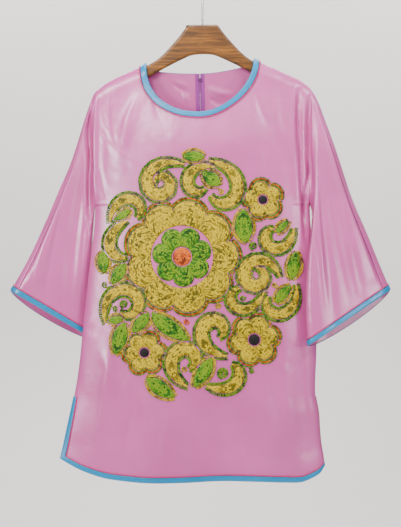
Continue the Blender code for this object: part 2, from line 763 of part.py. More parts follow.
bm = bmesh.new()
bmesh.ops.create_cube(bm, size=1.0)
for vert in bm.verts:
    vert.co = to_metres(Vector((slider_at.x + vert.co.x * 2 * SLIDER_HALF[0],
                                slider_face - (0.5 - vert.co.y) * 2 * SLIDER_HALF[1],
                                slider_middle + vert.co.z * SLIDER_HEIGHT)))
mesh = bpy.data.meshes.new("zip_slider")
bm.to_mesh(mesh)
bm.free()
slider = add_object("zip_slider", mesh, ZIP_METAL)

reach = slider_face - 2 * GAP - pin_at.y
lug = [(reach, -LUG_RADIUS), (reach, LUG_RADIUS)]
lug += [(LUG_RADIUS * math.sin(math.radians(a)), LUG_RADIUS * math.cos(math.radians(a)))
        for a in range(0, 181, 30)]
mesh = turn_mesh(flat_mesh((lug, circle(0, 0, LUG_HOLE, 12)), 2 * LUG_HALF), (0, 1, 0), (0, 0, 1), pin_at)
guides = bpy.data.collections.new("guides")
bpy.context.scene.collection.children.link(guides)
bridge = bpy.data.objects.new("slider_bridge", mesh)
guides.objects.link(bridge)
bridge.hide_render = True
bridge.display_type = "WIRE"
union = slider.modifiers.new("bridge", "BOOLEAN")
union.operation = "UNION"
union.object = bridge

tab = [(-TAB_HALF, BAR_HALF), (-TAB_HALF, TAB_CORNER - TAB_LENGTH), (TAB_CORNER - TAB_HALF, -TAB_LENGTH),
       (TAB_HALF - TAB_CORNER, -TAB_LENGTH), (TAB_HALF, TAB_CORNER - TAB_LENGTH), (TAB_HALF, BAR_HALF)]
window = [(-WINDOW_HALF, -BAR_HALF), (WINDOW_HALF, -BAR_HALF), (WINDOW_HALF, -WINDOW_END),
          (-WINDOW_HALF, -WINDOW_END)]
add_object("zip_pull", turn_mesh(flat_mesh((tab, window), TAB_THICK), (1, 0, 0), (0, 0, 1), pin_at), ZIP_METAL)


# Hanger: a flat wooden blank with rounded edges
HANGER_THICK = 11.0
HANGER_ROUND = 4.5
HANGER_TOP = (
    # distance from the middle, height, from the middle out to the end of the arm
    (27, -63), (31, -66.5), (40, -79), (53, -94.5), (71, -114), (86, -127), (98, -134.2),
    (107, -138.2), (119, -144.7), (135, -151.7), (154, -160.0), (170, -167.2), (184, -174.8), (190, -180.0),
)
HANGER_LOW = (
    # the lower edge, from the end of the arm back to the middle
    (193, -187), (190, -195), (182, -197), (160, -187), (130, -173), (95, -156), (68, -141.5),
    (37, -126.5), (16, -119),
)
half = HANGER_TOP + HANGER_LOW
outline = [(x, z + TILT * x) for x, z in half] + [(-x, z - TILT * x) for x, z in half[::-1]]
mesh = flat_mesh((outline,), HANGER_THICK, HANGER_ROUND)
add_object("hanger", turn_mesh(mesh, (1, 0, 0), (0, 0, 1), Vector((0, 0, 0))), HANGER_WOOD)

# Hook: one steel wire, from its free end over the top and down into the stem
HOOK_RADIUS = 1.85
HOOK_INNER = 18.0
HOOK_START = 200            # degrees: the free end, and where the bend to the stem begins
HOOK_END = -40
BEND_PULL = 9.0
BEND_STEPS = 8
STEM_TOP = -22.0
STEM_FOOT = -62.6
hook_round = HOOK_INNER + HOOK_RADIUS
hook_middle = Vector((0, 0, SEAT_RISE - HOOK_INNER))
hook = [hook_middle + Vector((math.cos(math.radians(a)), 0, math.sin(math.radians(a)))) * hook_round
        for a in range(HOOK_START, HOOK_END - 1, -10)]
bend_start, heading = hook[-1], (hook[-1] - hook[-2]).normalized()
bend_end = Vector((0, 0, STEM_TOP))
knots = (bend_start, bend_start + heading * BEND_PULL, bend_end + Vector((0, 0, BEND_PULL)), bend_end)
for i in range(1, BEND_STEPS + 1):
    t = i / BEND_STEPS
    weights = ((1 - t) ** 3, 3 * t * (1 - t) ** 2, 3 * t * t * (1 - t), t ** 3)
    hook.append(sum((knot * weight for knot, weight in zip(knots, weights)), Vector()))
hook.append(Vector((0, 0, STEM_FOOT)))
cord("hook", hook, HOOK_RADIUS, STEEL).data.bevel_resolution = 2


# Embroidery: motifs raised on the front
LIFT = 0.7                  # gap below the stitched motifs
EDGE_THICK = 0.8
DOME = 1.1
BLOSSOM = (-38.0, -498.0)
SMALL_BLOSSOMS = (
    # x, height, outer radius, depth between the petals, petals, turn
    (96, -652, 44, 12, 6, 0.2),
    (112, -392, 34, 9, 5, 0.5),
    (-108, -676, 36, 10, 6, 0.1),
)
LEAVES = (
    # x, height, heading, length, turn rates at the start and the end, half width
    (83, -472, 115, 64, -0.78, 0.06, 16.8),
    (-105, -724, -25, 64, -0.68, 0.67, 14.0),
    (-94, -601, -58, 87, 0.77, -0.24, 15.5),
    (-144, -620, -120, 63, 0.76, -0.41, 14.0),
    (16, -684, -106, 65, -0.58, 0.01, 13.1),
    (-185, -488, -97, 41, 0.69, -0.06, 10.7),
    (136, -584, 56, 43, -0.42, 0.04, 10.1),
    (4, -313, 171, 41, 0.51, -0.07, 10.0),
    (166, -541, 88, 54, -0.57, 0.46, 12.3),
    (33, -366, 138, 42, 0.47, -0.19, 12.5),
    (-144, -510, -118, 46, -0.38, 0.20, 11.6),
    (-99, -602, -124, 48, -0.49, 0.24, 11.4),
    (136, -453, 34, 33, 0.85, -0.27, 6.5),
    (-134, -410, -138, 36, -0.69, 0.13, 7.3),
    (-147, -614, 180, 28, 0.89, -0.24, 8.2),
)
SCROLLS = (
    (46, -683, 172, 155, -0.29, -3.69, 12.6),
    (-27, -739, 157, 153, -0.54, -3.49, 12.8),
    (144, -536, 102, 184, 0.84, 3.71, 12.6),
    (-33, -327, 161, 209, 0.25, 4.06, 11.9),
    (12, -320, -9, 155, -0.32, -2.65, 11.2),
    (-180, -622, 111, 176, -0.64, -3.00, 10.6),
    (174, -550, -79, 123, -0.47, -3.10, 9.1),
    (170, -445, -91, 116, -0.75, -3.74, 9.8),
    (7, -737, -24, 103, 0.27, 3.19, 10.3),
    (-139, -431, -155, 108, 0.31, 2.93, 10.3),
    (24, -333, 161, 115, 0.57, 3.67, 9.3),
    (115, -562, -111, 120, -0.33, -3.69, 8.6),
    (-172, -435, 88, 114, -0.45, -3.44, 9.2),
)


def stitched(name, patches, place, finish):
    """A raised motif: place(column, row) gives x, z and the share of full height."""
    def on_front(column, row, inner):
        x, z, dome = place(column, row)
        return body_surface("front", x, z, LIFT if inner else LIFT + EDGE_THICK + DOME * dome)
    return wall(name, patches, on_front, finish)


def flower_ring(name, middle, inner, outer, lobes, lobe_depth, turn, steps, finish):
    """A ring of petals in one piece, with a lobed outer edge."""
    around = lobes * steps

    def place(column, row):
        angle = 2 * math.pi * column / around + turn
        lobe = abs(math.cos(lobes * (angle - turn) / 2))
        edge = outer - lobe_depth * (1 - lobe ** 0.6)
        radius = inner + (edge - inner) * row / 2
        dome = (0.4 + 0.6 * lobe) if row == 1 else 0.0
        return middle[0] + radius * math.cos(angle), middle[1] + radius * math.sin(angle), dome

    return stitched(name, ((0, around, 0, 2),), place, finish)


def disc(name, middle, radius, finish):
    """A round eye; its first row of points meets in its middle."""
    def place(column, row):
        angle = 2 * math.pi * column / 12
        out = radius * (row * 0.5 + 0.001)
        return middle[0] + out * math.cos(angle), middle[1] + out * math.sin(angle), 1 - 0.5 * row
    return stitched(name, ((0, 12, 0, 2),), place, finish)


def stroke(name, row, tip, steps, finish):
    """A leaf or scroll from a row of its table. Its spine turns evenly from one rate
    to another, in degrees a millimetre, and it is widest at tip, a share of its length."""
    x, z, angle, length, turn_start, turn_end, half_width = row
    spine, step = [(x, z, angle)], length / steps
    for i in range(steps):
        angle += step * (turn_start + (turn_end - turn_start) * (i + 0.5) / steps)
        x += step * math.cos(math.radians(angle))
        z += step * math.sin(math.radians(angle))
        spine.append((x, z, angle))

    def place(column, row):
        px, pz, at = spine[column]
        run = column / steps
        grown = run / tip if run < tip else (1 - run) / (1 - tip)
        half = half_width * max(math.sin(math.pi / 2 * grown) ** 0.7, 0.12) * (row - 1)
        side = math.radians(at + 90)
        return px + half * math.cos(side), pz + half * math.sin(side), 1.0 if row == 1 else 0.0

    return stitched(name, ((0, steps, 0, 2),), place, finish)


disc("blossom_eye", BLOSSOM, 17, RUST_THREAD)
flower_ring("blossom_inner", BLOSSOM, 18.5, 56, 7, 12, 0.3, 6, GREEN_THREAD)
flower_ring("blossom_outer", BLOSSOM, 57.5, 104, 9, 16, 0.0, 6, GOLD_THREAD)
for number, (x, z, outer, depth, lobes, turn) in enumerate(SMALL_BLOSSOMS):
    disc("small_eye_%d" % number, (x, z), outer * 0.24, DARK_THREAD)
    flower_ring("small_petals_%d" % number, (x, z), outer * 0.24 + 1.5, outer, lobes, depth, turn, 6, GOLD_THREAD)
for number, row in enumerate(LEAVES):
    stroke("leaf_%d" % number, row, 0.45, 6, GREEN_THREAD)
for number, row in enumerate(SCROLLS):
    stroke("scroll_%d" % number, row, 0.6, 14, GOLD_THREAD)
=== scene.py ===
"""A pink satin top with kimono sleeves, blue bindings and a raised embroidery, hung on
a wooden hanger. Tables are in millimetres, with heights counted as in the part's source:
SEAT_RISE below the seat of the hook. x is to the right, y to the back and z up."""

import functools
import math

import bmesh
import bpy
from mathutils import Matrix, Vector, noise


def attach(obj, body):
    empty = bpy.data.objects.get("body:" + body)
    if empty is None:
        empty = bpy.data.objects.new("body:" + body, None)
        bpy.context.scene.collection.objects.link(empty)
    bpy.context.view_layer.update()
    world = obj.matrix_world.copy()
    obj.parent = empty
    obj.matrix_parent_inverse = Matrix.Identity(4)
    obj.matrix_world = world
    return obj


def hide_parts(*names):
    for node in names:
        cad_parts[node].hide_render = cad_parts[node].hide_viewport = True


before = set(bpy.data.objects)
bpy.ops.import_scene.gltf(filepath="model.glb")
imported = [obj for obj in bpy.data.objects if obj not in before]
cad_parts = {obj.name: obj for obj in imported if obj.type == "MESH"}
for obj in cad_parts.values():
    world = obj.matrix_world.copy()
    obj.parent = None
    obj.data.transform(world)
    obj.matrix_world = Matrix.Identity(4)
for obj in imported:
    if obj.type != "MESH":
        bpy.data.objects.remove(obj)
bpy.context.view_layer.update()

# A camera level with the middle of the photograph's frame, 2.9 m in front of the garment.
# Its frame is 980 mm high at the front's cloth.
MM = 0.001
camera_data = bpy.data.cameras.new("camera")
camera_data.sensor_fit = "VERTICAL"
SENSOR = 24.0
camera_data.sensor_height = SENSOR
camera_data.sensor_width = SENSOR
CAMERA_AWAY = 2.9
FRONT_AWAY = 0.025
FRAME_HEIGHT = 0.980
FRAME_MIDDLE = (-0.0037, -0.5435)
camera_data.lens = SENSOR * (CAMERA_AWAY - FRONT_AWAY) / FRAME_HEIGHT
camera = bpy.data.objects.new("camera", camera_data)
camera.location = (FRAME_MIDDLE[0], -CAMERA_AWAY, FRAME_MIDDLE[1])
camera.rotation_euler = (math.radians(90), 0, 0)
bpy.context.scene.collection.objects.link(camera)
bpy.context.scene.camera = camera

# The studio: a pale painted floor that curves up into a wall behind the garment, with
# large soft lamps in front of it, above it and at the wall.
FLOOR_Z = -1.35
FLOOR_HALF = 3.5
FLOOR_FRONT = -3.2
FLOOR_CURVE = 0.7
WALL_AWAY = 1.8
WALL_TOP = 2.6


def studio_floor():
    bm = bmesh.new()
    profile = [bm.verts.new((-FLOOR_HALF, FLOOR_FRONT, FLOOR_Z))]
    for step in range(13):
        turn = math.radians(90 * step / 12)
        back = WALL_AWAY - FLOOR_CURVE * (1 - math.sin(turn))
        profile.append(bm.verts.new((-FLOOR_HALF, back, FLOOR_Z + FLOOR_CURVE * (1 - math.cos(turn)))))
    profile.append(bm.verts.new((-FLOOR_HALF, WALL_AWAY, WALL_TOP)))
    edges = [bm.edges.new(pair) for pair in zip(profile, profile[1:])]
    made = bmesh.ops.extrude_edge_only(bm, edges=edges)
    for vert in (item for item in made["geom"] if isinstance(item, bmesh.types.BMVert)):
        vert.co.x = FLOOR_HALF
    bmesh.ops.recalc_face_normals(bm, faces=bm.faces[:])
    if max(bm.faces, key=lambda face: abs(face.normal.z)).normal.z < 0:
        bmesh.ops.reverse_faces(bm, faces=bm.faces[:])
    for face in bm.faces:
        face.smooth = True
    mesh = bpy.data.meshes.new("floor")
    bm.to_mesh(mesh)
    bm.free()
    return mesh


def linear(hex_colour):
    """Linear RGBA from an sRGB hex colour."""
    parts = [int(hex_colour[i:i + 2], 16) / 255 for i in (1, 3, 5)]
    return [p / 12.92 if p <= 0.04045 else ((p + 0.055) / 1.055) ** 2.4 for p in parts] + [1.0]


def node(tree, kind, links=(), **settings):
    """Adds a node. A setting names a socket with an underscore for each space, or an attribute;
    links are (input, other node, its output)."""
    made = tree.nodes.new(kind)
    for name, value in settings.items():
        socket = name.replace("_", " ")
        if socket in made.inputs:
            made.inputs[socket].default_value = value
        else:
            setattr(made, name, value)
    for to, other, out in links:
        tree.links.new(made.inputs[to], other.outputs[out])
    return made


def new_material(name, viewport):
    made = bpy.data.materials.new(name)
    made.use_nodes = True
    made.diffuse_color = linear(viewport)
    shader = made.node_tree.nodes["Principled BSDF"]
    return made, made.node_tree, shader


floor = bpy.data.objects.new("floor", studio_floor())
bpy.context.scene.collection.objects.link(floor)
paper, tree, shader = new_material("painted_floor", "#e4e2df")
shader.inputs["Base Color"].default_value = linear("#e4e2df")
shader.inputs["Roughness"].default_value = 0.8
floor.data.materials.append(paper)
# From behind the wall can be looked through, so that the back of the top shows as well.
seen = node(tree, "ShaderNodeNewGeometry")
clear = node(tree, "ShaderNodeBsdfTransparent")
either = node(tree, "ShaderNodeMixShader", [(0, seen, "Backfacing"), (1, shader, "BSDF"), (2, clear, "BSDF")])
tree.links.new(tree.nodes["Material Output"].inputs["Surface"], either.outputs["Shader"])

world = bpy.data.worlds.new("studio")
world.use_nodes = True
world.node_tree.nodes["Background"].inputs["Color"].default_value = linear("#f4f2f4")
world.node_tree.nodes["Background"].inputs["Strength"].default_value = 0.13
bpy.context.scene.world = world
for name, at, aim, size, power, colour in (
        ("key", (-0.6, -1.35, 0.42), (-0.05, 0, -0.3), 0.5, 22, "#fffaf6"),
        ("fill", (0.85, -1.15, 0.5), (0.1, 0, -0.3), 0.45, 14, "#fbfaff"),
        ("left", (-1.15, -1.35, -0.35), (-0.15, 0, -0.5), 0.4, 20, "#ffffff"),
        ("right", (1.2, -1.2, -0.5), (0.15, 0, -0.55), 0.35, 8, "#ffffff"),
        ("top", (0.1, -0.35, 0.8), (0, 0.1, -0.2), 0.6, 17, "#ffffff"),
        ("back", (-0.9, 1.3, 1.2), (0, 1.8, -0.6), 1.2, 45, "#ffffff"),
        ("wall", (1.1, 1.0, 1.2), (0.3, 1.8, -0.6), 1.2, 45, "#ffffff")):
    lamp_data = bpy.data.lights.new(name, "AREA")
    lamp_data.shape = "DISK"
    lamp_data.size = size
    lamp_data.energy = power
    lamp_data.color = linear(colour)[:3]
    lamp = bpy.data.objects.new(name, lamp_data)
    lamp.location = at
    lamp.rotation_euler = (Vector(aim) - Vector(at)).to_track_quat("-Z", "Y").to_euler()
    bpy.context.scene.collection.objects.link(lamp)

# The satin: front and two backs, each cut in one with its half of the sleeves. Polyester
# satin, sewn along the shoulders, the tops of the arms and the sides, and pressed flat.
SEAT_RISE = 33.0
WALL = 1.3
SEAM_HALF = 0.15
BAND = 10.0
UNDERARM = -400.0
SLIT_TOP = -760.0
TILT = 0.0192
SHOULDER_LINE = (
    # distance from the middle, height
    (0, -122.0), (60, -123.5), (97, -129.5), (107, -133.6), (119, -140.5),
    (135, -147.5), (154, -155.8), (170, -163.0), (184, -170.3), (195, -178.5), (206, -188.0),
)
CAP_TOP = 24.0
CAP_LOW = 40.0
CHEST_GROWTH = 190.0
ARM_DEPTH = 13.0
SHOULDER_STEPS = (0.0, 0.14, 0.40, 0.70, 1.0)
NECK_MIDDLE = -5.0
NECK_HALF = 101.0
NECK_DROP = {"front": 106.0, "back": 31.0}
NECK_ROUND_LEFT = 2.2
NECK_ROUND_RIGHT = 1.82
NECK_STEPS = (0.0, 0.05, 0.19, 0.42, 0.66, 0.85, 0.95, 1.0)
BODY_ROWS = (
    # height, left edge, right edge, front depth, back depth
    (-183, -199.5, 201.0, 34, 25),
    (-400, -201.0, 201.5, 36, 26),
    (-425, -201.8, 202.0, 36, 26),
    (-455, -204.0, 204.5, 36, 26),
    (-525, -213.0, 207.5, 36, 26),
    (-582, -219.0, 210.0, 35, 26),
    (-640, -225.0, 213.5, 35, 26),
    (-690, -230.0, 213.5, 34, 26),
    (-732, -235.7, 211.5, 34, 26),
    (-760, -240.9, 212.0, 33, 26),
    (-790, -247.0, 217.5, 33, 26),
    (-820, -253.5, 219.5, 33, 27),
    (-850, -260.0, 222.5, 33, 27),
    (-875, -266.0, 227.0, 34, 28),
    (-930, -277.0, 232.0, 35, 28),
)
HEM_LINE = (
    # x, height
    (-268, -873), (-254, -881), (-224, -896), (-183, -909), (-140, -915), (-94, -918),
    (-36, -917), (34, -913.5), (90, -915), (158, -917.7), (183, -917.7), (198.5, -913),
    (219.7, -902), (229, -889),
)
BACK_HEM_RISE = 4.0
SLIT_OPENING = 0.45
SLIT_INSET = 6.0
SLIT_FADE = 130.0
RIGHT_WRAP = math.radians(17)
WRAP_START = -665.0
WRAP_END = -755.0
SLEEVE_ROWS = {
    # along, overarm x and z, underarm x and z, half depth, overarm y, underarm y
    "left": (
        (0.00, -199.5, -185.9, -201.0, -400.0, 13.0, 0.0, 0.0),
        (0.10, -206.0, -198.0, -203.5, -424.0, 13.5, 0.5, 8.0),
        (0.22, -219.5, -234.0, -206.0, -452.0, 15.0, 1.0, 14.5),
        (0.38, -243.8, -314.0, -208.5, -492.0, 17.0, 2.0, 21.0),
        (0.55, -278.0, -397.0, -210.0, -535.0, 18.0, 3.0, 26.0),
        (0.78, -322.0, -492.0, -209.5, -597.0, 18.0, 3.0, 31.0),
        (1.00, -359.5, -561.0, -206.5, -652.5, 17.0, 2.0, 34.0),
    ),
    "right": (
        (0.00, 201.0, -179.9, 201.5, -400.0, 13.0, 0.0, 0.0),
        (0.10, 210.0, -194.2, 206.0, -424.0, 13.5, -0.5, -12.0),
        (0.22, 222.0, -221.0, 203.0, -452.0, 15.0, -1.0, -22.0),
        (0.38, 245.0, -283.0, 196.5, -492.0, 17.0, -2.0, -29.0),
        (0.55, 276.0, -377.0, 192.0, -540.0, 18.0, -3.0, -34.0),
        (0.78, 318.0, -478.0, 191.0, -602.0, 18.0, -3.0, -36.0),
        (1.00, 351.5, -559.0, 195.0, -662.0, 17.0, -2.0, -38.0),
    ),
}
SEAM_ROLL = math.radians(30)
ROLL_REACHED = 0.2
FOLDS_REACHED = 0.3
BACK_CUFF_DROP = 14.0
CUFF_DOWN = {"left": (-0.513, -0.858), "right": (0.55, -0.835)}
BODY_FOLDS = (
    # top x, top z, bottom x, bottom z, half width, rise to the front
    (-118, -190, -162, -330, 13, 2.5),
    (158, -165, 166, -330, 12, 3.0),
    (186, -195, 193, -390, 7, -3.5),
    (-186, -215, -188, -420, 8, 2.5),
    (-160, -560, -205, -900, 17, 3.0),
    (-95, -800, -98, -930, 20, 2.5),
    (40, -800, 38, -930, 22, 2.5),
    (150, -590, 178, -915, 17, 3.0),
)
SLEEVE_FOLDS = {
    "left": ((-226, -250, -318, -575, 12, 3.0), (-214, -300, -262, -600, 10, -3.0)),
    "right": ((226, -235, 312, -590, 12, 3.0), (213, -300, 246, -640, 9, -3.0)),
}
NECK_COLUMN = len(SHOULDER_STEPS) - 1
MIDDLE = NECK_COLUMN + len(NECK_STEPS) - 1
COLUMNS = 2 * MIDDLE
COLUMN_ANGLES = (21, 30, 40, 49, 57.5, 66, 74, 82, 90)
ARM_ROWS = 10
SLIT_ROW = ARM_ROWS + 9
BAND_ROW = SLIT_ROW + 3
HEM_ROW = BAND_ROW + 1
SLEEVE_STEPS = (0.0, 0.06, 0.14, 0.25, 0.37, 0.5, 0.63, 0.76, 0.88, 0.968, 1.0)
BAND_COLUMN = len(SLEEVE_STEPS) - 2
CUFF_COLUMN = BAND_COLUMN + 1
SMALL_TURN = 0.002
# The way along y that each side faces.
OUTWARD = {"front": -1, "back": 1}


def read(table, key, column):
    """Smooth value of a table's column at a key; keys may rise or fall."""
    rows = table if table[0][0] < table[-1][0] else table[::-1]
    if key <= rows[0][0]:
        return rows[0][column]
    if key >= rows[-1][0]:
        return rows[-1][column]
    last = len(rows) - 1
    at = max(i for i in range(last) if rows[i][0] <= key)

    def slope(i):
        low, high = max(i - 1, 0), min(i + 1, last)
        return (rows[high][column] - rows[low][column]) / (rows[high][0] - rows[low][0])

    step = rows[at + 1][0] - rows[at][0]
    t = (key - rows[at][0]) / step
    start, end = rows[at][column], rows[at + 1][column]
    return (start * (1 + 2 * t) * (1 - t) ** 2 + end * t * t * (3 - 2 * t)
            + step * (slope(at) * t * (1 - t) ** 2 - slope(at + 1) * t * t * (1 - t)))


def clamp(value, low=0.0, high=1.0):
    return min(max(value, low), high)


def smooth(value):
    value = clamp(value)
    return value * value * (3 - 2 * value)


def quarter(share):
    """A quarter of an ellipse: rises steeply from 0 and is level at 1."""
    return math.sqrt(1 - (1 - clamp(share)) ** 2)


def between(values, place):
    """Value of a list between two of its places."""
    at = min(int(place), len(values) - 2)
    return values[at] + (values[at + 1] - values[at]) * (place - at)


def shoulder(x):
    return read(SHOULDER_LINE, abs(x), 1) + TILT * x


def fold_rise(folds, x, z):
    """Height to the front of all folds of a table at a point of the picture plane."""
    rise = 0.0
    for top_x, top_z, low_x, low_z, width, height in folds:
        run = (z - top_z) / (low_z - top_z)
        if 0 < run < 1:
            off = (x - top_x - (low_x - top_x) * run) / width
            if abs(off) < 4:
                rise += height * math.exp(-off * off) * math.sin(math.pi * run) ** 0.7
    return rise


@functools.lru_cache(maxsize=None)
def body_size(z):
    """Left and right edge, front and back depth of the body at a height."""
    return tuple(read(BODY_ROWS, z, column) for column in range(1, 5))


@functools.lru_cache(maxsize=None)
def sleeve_size(side, along):
    return tuple(read(SLEEVE_ROWS[side], along, column) for column in range(1, 8))


def body_depth(face, x, z):
    """Distance of the body's outer side from the middle plane, to its own side."""
    left, right, front_depth, back_depth = body_size(z)
    share = clamp((x - left) / (right - left))
    width = 2 * math.sqrt(share * (1 - share))
    full = front_depth if face == "front" else back_depth
    drop = max(shoulder(x) - z, 0.0)
    above = max(z - UNDERARM, 0.0)
    top = quarter(drop / CAP_TOP)
    base = ARM_DEPTH * top * (quarter(above / CAP_LOW) * (1 - width) + width)
    level = drop / (drop + above) if above > 0 else 1.0
    power = 1 + 2 * math.sqrt(level * (1 - level))
    growth = math.sin(math.pi / 2 * clamp(drop / CHEST_GROWTH)) ** 2
    depth = base + (full - ARM_DEPTH) * growth * width ** power
    if face == "front":
        depth += fold_rise(BODY_FOLDS, x, z) * width ** 0.5
    return depth


SOFTENED = 26.0
SOFT_SHARES = ((-3, 1), (-2, 3), (-1, 5), (0, 6), (1, 5), (2, 3), (3, 1))


def soft_depth(face, x, z):
    """Depth of the body, evened out where the sleeves join it below the arms."""
    left, right = body_size(z)[:2]
    reach = SOFTENED * clamp(min(x - left, right - x) / 12) * clamp(2.4 - abs(z - UNDERARM) / SOFTENED)
    if reach < 0.5:
        return body_depth(face, x, z)
    total = sum(weight for _, weight in SOFT_SHARES)
    return sum(weight * body_depth(face, x, z + step * reach / 3) for step, weight in SOFT_SHARES) / total


def right_seam(face, z):
    """Angle of the right side seam, which the back counts the other way round."""
    seam = math.pi + RIGHT_WRAP * smooth((WRAP_START - z) / (WRAP_START - WRAP_END))
    return seam if face == "front" else seam - 2 * math.pi


def body_section(z, angle):
    """Point of the body's section at a height: 0 is the left tip, pi the right one
    by way of the front, and negative angles lie on the back."""
    left, right, front_depth, back_depth = body_size(z)
    side, width = math.cos(angle), math.sin(angle)
    x = (left + right) / 2 - side * (right - left) / 2
    to_front = width >= 0
    width = abs(width)
    if side > 0:
        opened = clamp((SLIT_TOP - z) / SLIT_FADE)
        flat = SLIT_OPENING + (1 - SLIT_OPENING) * width * width
        width += (flat - width) * opened
        if not to_front:
            x += SLIT_INSET * opened * side * side
    depth = (front_depth if to_front else back_depth) * width
    if to_front:
        depth += fold_rise(BODY_FOLDS, x, z) * width ** 0.5
    return Vector((x, -depth if to_front else depth, z))


def edge_angles(face, from_left, z):
    """Angles of the side seam, half the slit's binding and all of it, at a height."""
    inward = -OUTWARD[face] if from_left else OUTWARD[face]
    start = 0.0 if from_left else right_seam(face, z)
    near = body_section(z, start + SMALL_TURN * inward)
    far = body_section(z, start + 2 * SMALL_TURN * inward)
    angles = [start + inward * SMALL_TURN * SEAM_HALF / (far - near).length]
    step, angle, walked = math.radians(0.5) * inward, start, 0.0
    here = body_section(z, angle + step * 0.02)
    for arc in (BAND / 2, BAND):
        while walked < arc:
            angle += step
            there = body_section(z, angle)
            last = (there - here).length
            walked += last
            here = there
        angles.append(angle - step * (walked - arc) / max(last, 1e-6))
    return angles


EDGE_STEP = 10.0
EDGES = {(face, from_left): [edge_angles(face, from_left, UNDERARM - EDGE_STEP * i) for i in range(56)]
         for face in ("front", "back") for from_left in (True, False)}


def column_angle(face, column, z):
    """Angle of a column of the body below the underarm, between whole ones too."""
    turn = -OUTWARD[face]
    from_left = column <= MIDDLE
    place = column if from_left else COLUMNS - column
    row = clamp((UNDERARM - z) / EDGE_STEP, 0, 54.99)
    edge = [between([angles[i] for angles in EDGES[face, from_left][int(row):int(row) + 2]], row - int(row))
            for i in range(3)]
    right = right_seam(face, z)

    def inner(number):
        angle = math.radians(COLUMN_ANGLES[number])
        if from_left:
            return turn * angle
        return right - turn * angle * abs(right - turn * math.pi / 2) / (math.pi / 2)

    if place <= 2:
        return between(edge, place)
    if place < 3:
        return edge[2] + (inner(0) - edge[2]) * (place - 2)
    low = min(int(place) - 3, len(COLUMN_ANGLES) - 2)
    return inner(low) + (inner(low + 1) - inner(low)) * (place - 3 - low)


def neck_edge(face, side, fall, out):
    """Point in the picture plane on a curve that runs a distance outside the neck's
    edge; fall runs from 0 on the shoulder to 1 at the middle."""
    power = NECK_ROUND_LEFT if side < 0 else NECK_ROUND_RIGHT
    x = NECK_MIDDLE + side * (NECK_HALF + out) * max(1 - fall ** power, 0.0) ** (1 / power)
    return x, shoulder(x) - (NECK_DROP[face] + out) * fall


def top_edge(face, column):
    side = -1 if column <= MIDDLE else 1
    place = column if column <= MIDDLE else COLUMNS - column
    if place <= NECK_COLUMN:
        tip = SLEEVE_ROWS["left" if side < 0 else "right"][0][1]
        inner = NECK_MIDDLE + side * NECK_HALF
        x = tip + (inner - tip) * between(SHOULDER_STEPS, place)
        return x, shoulder(x)
    return neck_edge(face, side, between(NECK_STEPS, place - NECK_COLUMN), 0.0)


def sleeve_section(side, along, angle):
    """Point of a sleeve's section: 0 is the overarm tip, pi the underarm one by way
    of the front, and negative angles lie on the back."""
    over_x, over_z, under_x, under_z, half, over_y, under_y = sleeve_size(side, along)
    share = (1 - math.cos(angle)) / 2
    height = math.hypot(over_x - under_x, over_z - under_z)
    oval = quarter(share * height / CAP_TOP) * quarter((1 - share) * height / CAP_LOW)
    x = over_x + (under_x - over_x) * share
    z = over_z + (under_z - over_z) * share
    to_front = math.sin(angle) >= 0
    depth = half * oval
    if to_front:
        depth += fold_rise(SLEEVE_FOLDS[side], x, z) * oval * smooth(along / FOLDS_REACHED)
    else:
        reach = BACK_CUFF_DROP * along ** 3 * abs(math.sin(angle))
        x += CUFF_DOWN[side][0] * reach
        z += CUFF_DOWN[side][1] * reach
    y = over_y + (under_y - over_y) * share
    return Vector((x, y - depth if to_front else y + depth, z))


def sleeve_angle(face, side, along, row):
    turn = -OUTWARD[face]
    over = SEAM_ROLL * smooth(along / ROLL_REACHED)
    ends = [over, turn * math.pi]
    for end, inward in ((0, turn), (1, -turn)):
        near = sleeve_section(side, along, ends[end] + SMALL_TURN * inward)
        far = sleeve_section(side, along, ends[end] + 2 * SMALL_TURN * inward)
        ends[end] += inward * SMALL_TURN * SEAM_HALF / (far - near).length
    return ends[0] + (ends[1] - ends[0]) * row / ARM_ROWS


def panel_point(face, column, row):
    """Outer point of the cloth at any column and row of the cut. Columns below 0 and
    above COLUMNS lie on the sleeves."""
    if row <= ARM_ROWS and (column <= 0 or column >= COLUMNS):
        side = "left" if column <= 0 else "right"
        step = -column if column <= 0 else column - COLUMNS
        along = between(SLEEVE_STEPS, step)
        return sleeve_section(side, along, sleeve_angle(face, side, along, row))
    if row <= ARM_ROWS:
        low = body_section(UNDERARM, column_angle(face, column, UNDERARM))
        x, z = top_edge(face, column)
        share = (1 - math.cos(math.pi * row / ARM_ROWS)) / 2
        x += (low.x - x) * share
        z += (UNDERARM - z) * share
        place = column if column <= MIDDLE else COLUMNS - column
        on_seam = row == 0 and place <= NECK_COLUMN
        depth = SEAM_HALF if on_seam else body_depth(face, x, z)
        return Vector((x, OUTWARD[face] * depth, z))
    if row <= SLIT_ROW:
        z = UNDERARM + (SLIT_TOP - UNDERARM) * (row - ARM_ROWS) / (SLIT_ROW - ARM_ROWS)
        return body_section(z, column_angle(face, column, z))
    z = SLIT_TOP - 120
    for _ in range(3):
        x = body_section(z, column_angle(face, column, z)).x
        hem = read(HEM_LINE, x, 1) + (BACK_HEM_RISE if face == "back" else 0.0)
        share = clamp((row - SLIT_ROW) / (BAND_ROW - SLIT_ROW))
        z = SLIT_TOP + (hem + BAND - SLIT_TOP) * share - BAND * clamp(row - BAND_ROW)
    return body_section(z, column_angle(face, column, z))


def to_metres(point):
    return Vector((point.x, point.y, point.z - SEAT_RISE)) * MM


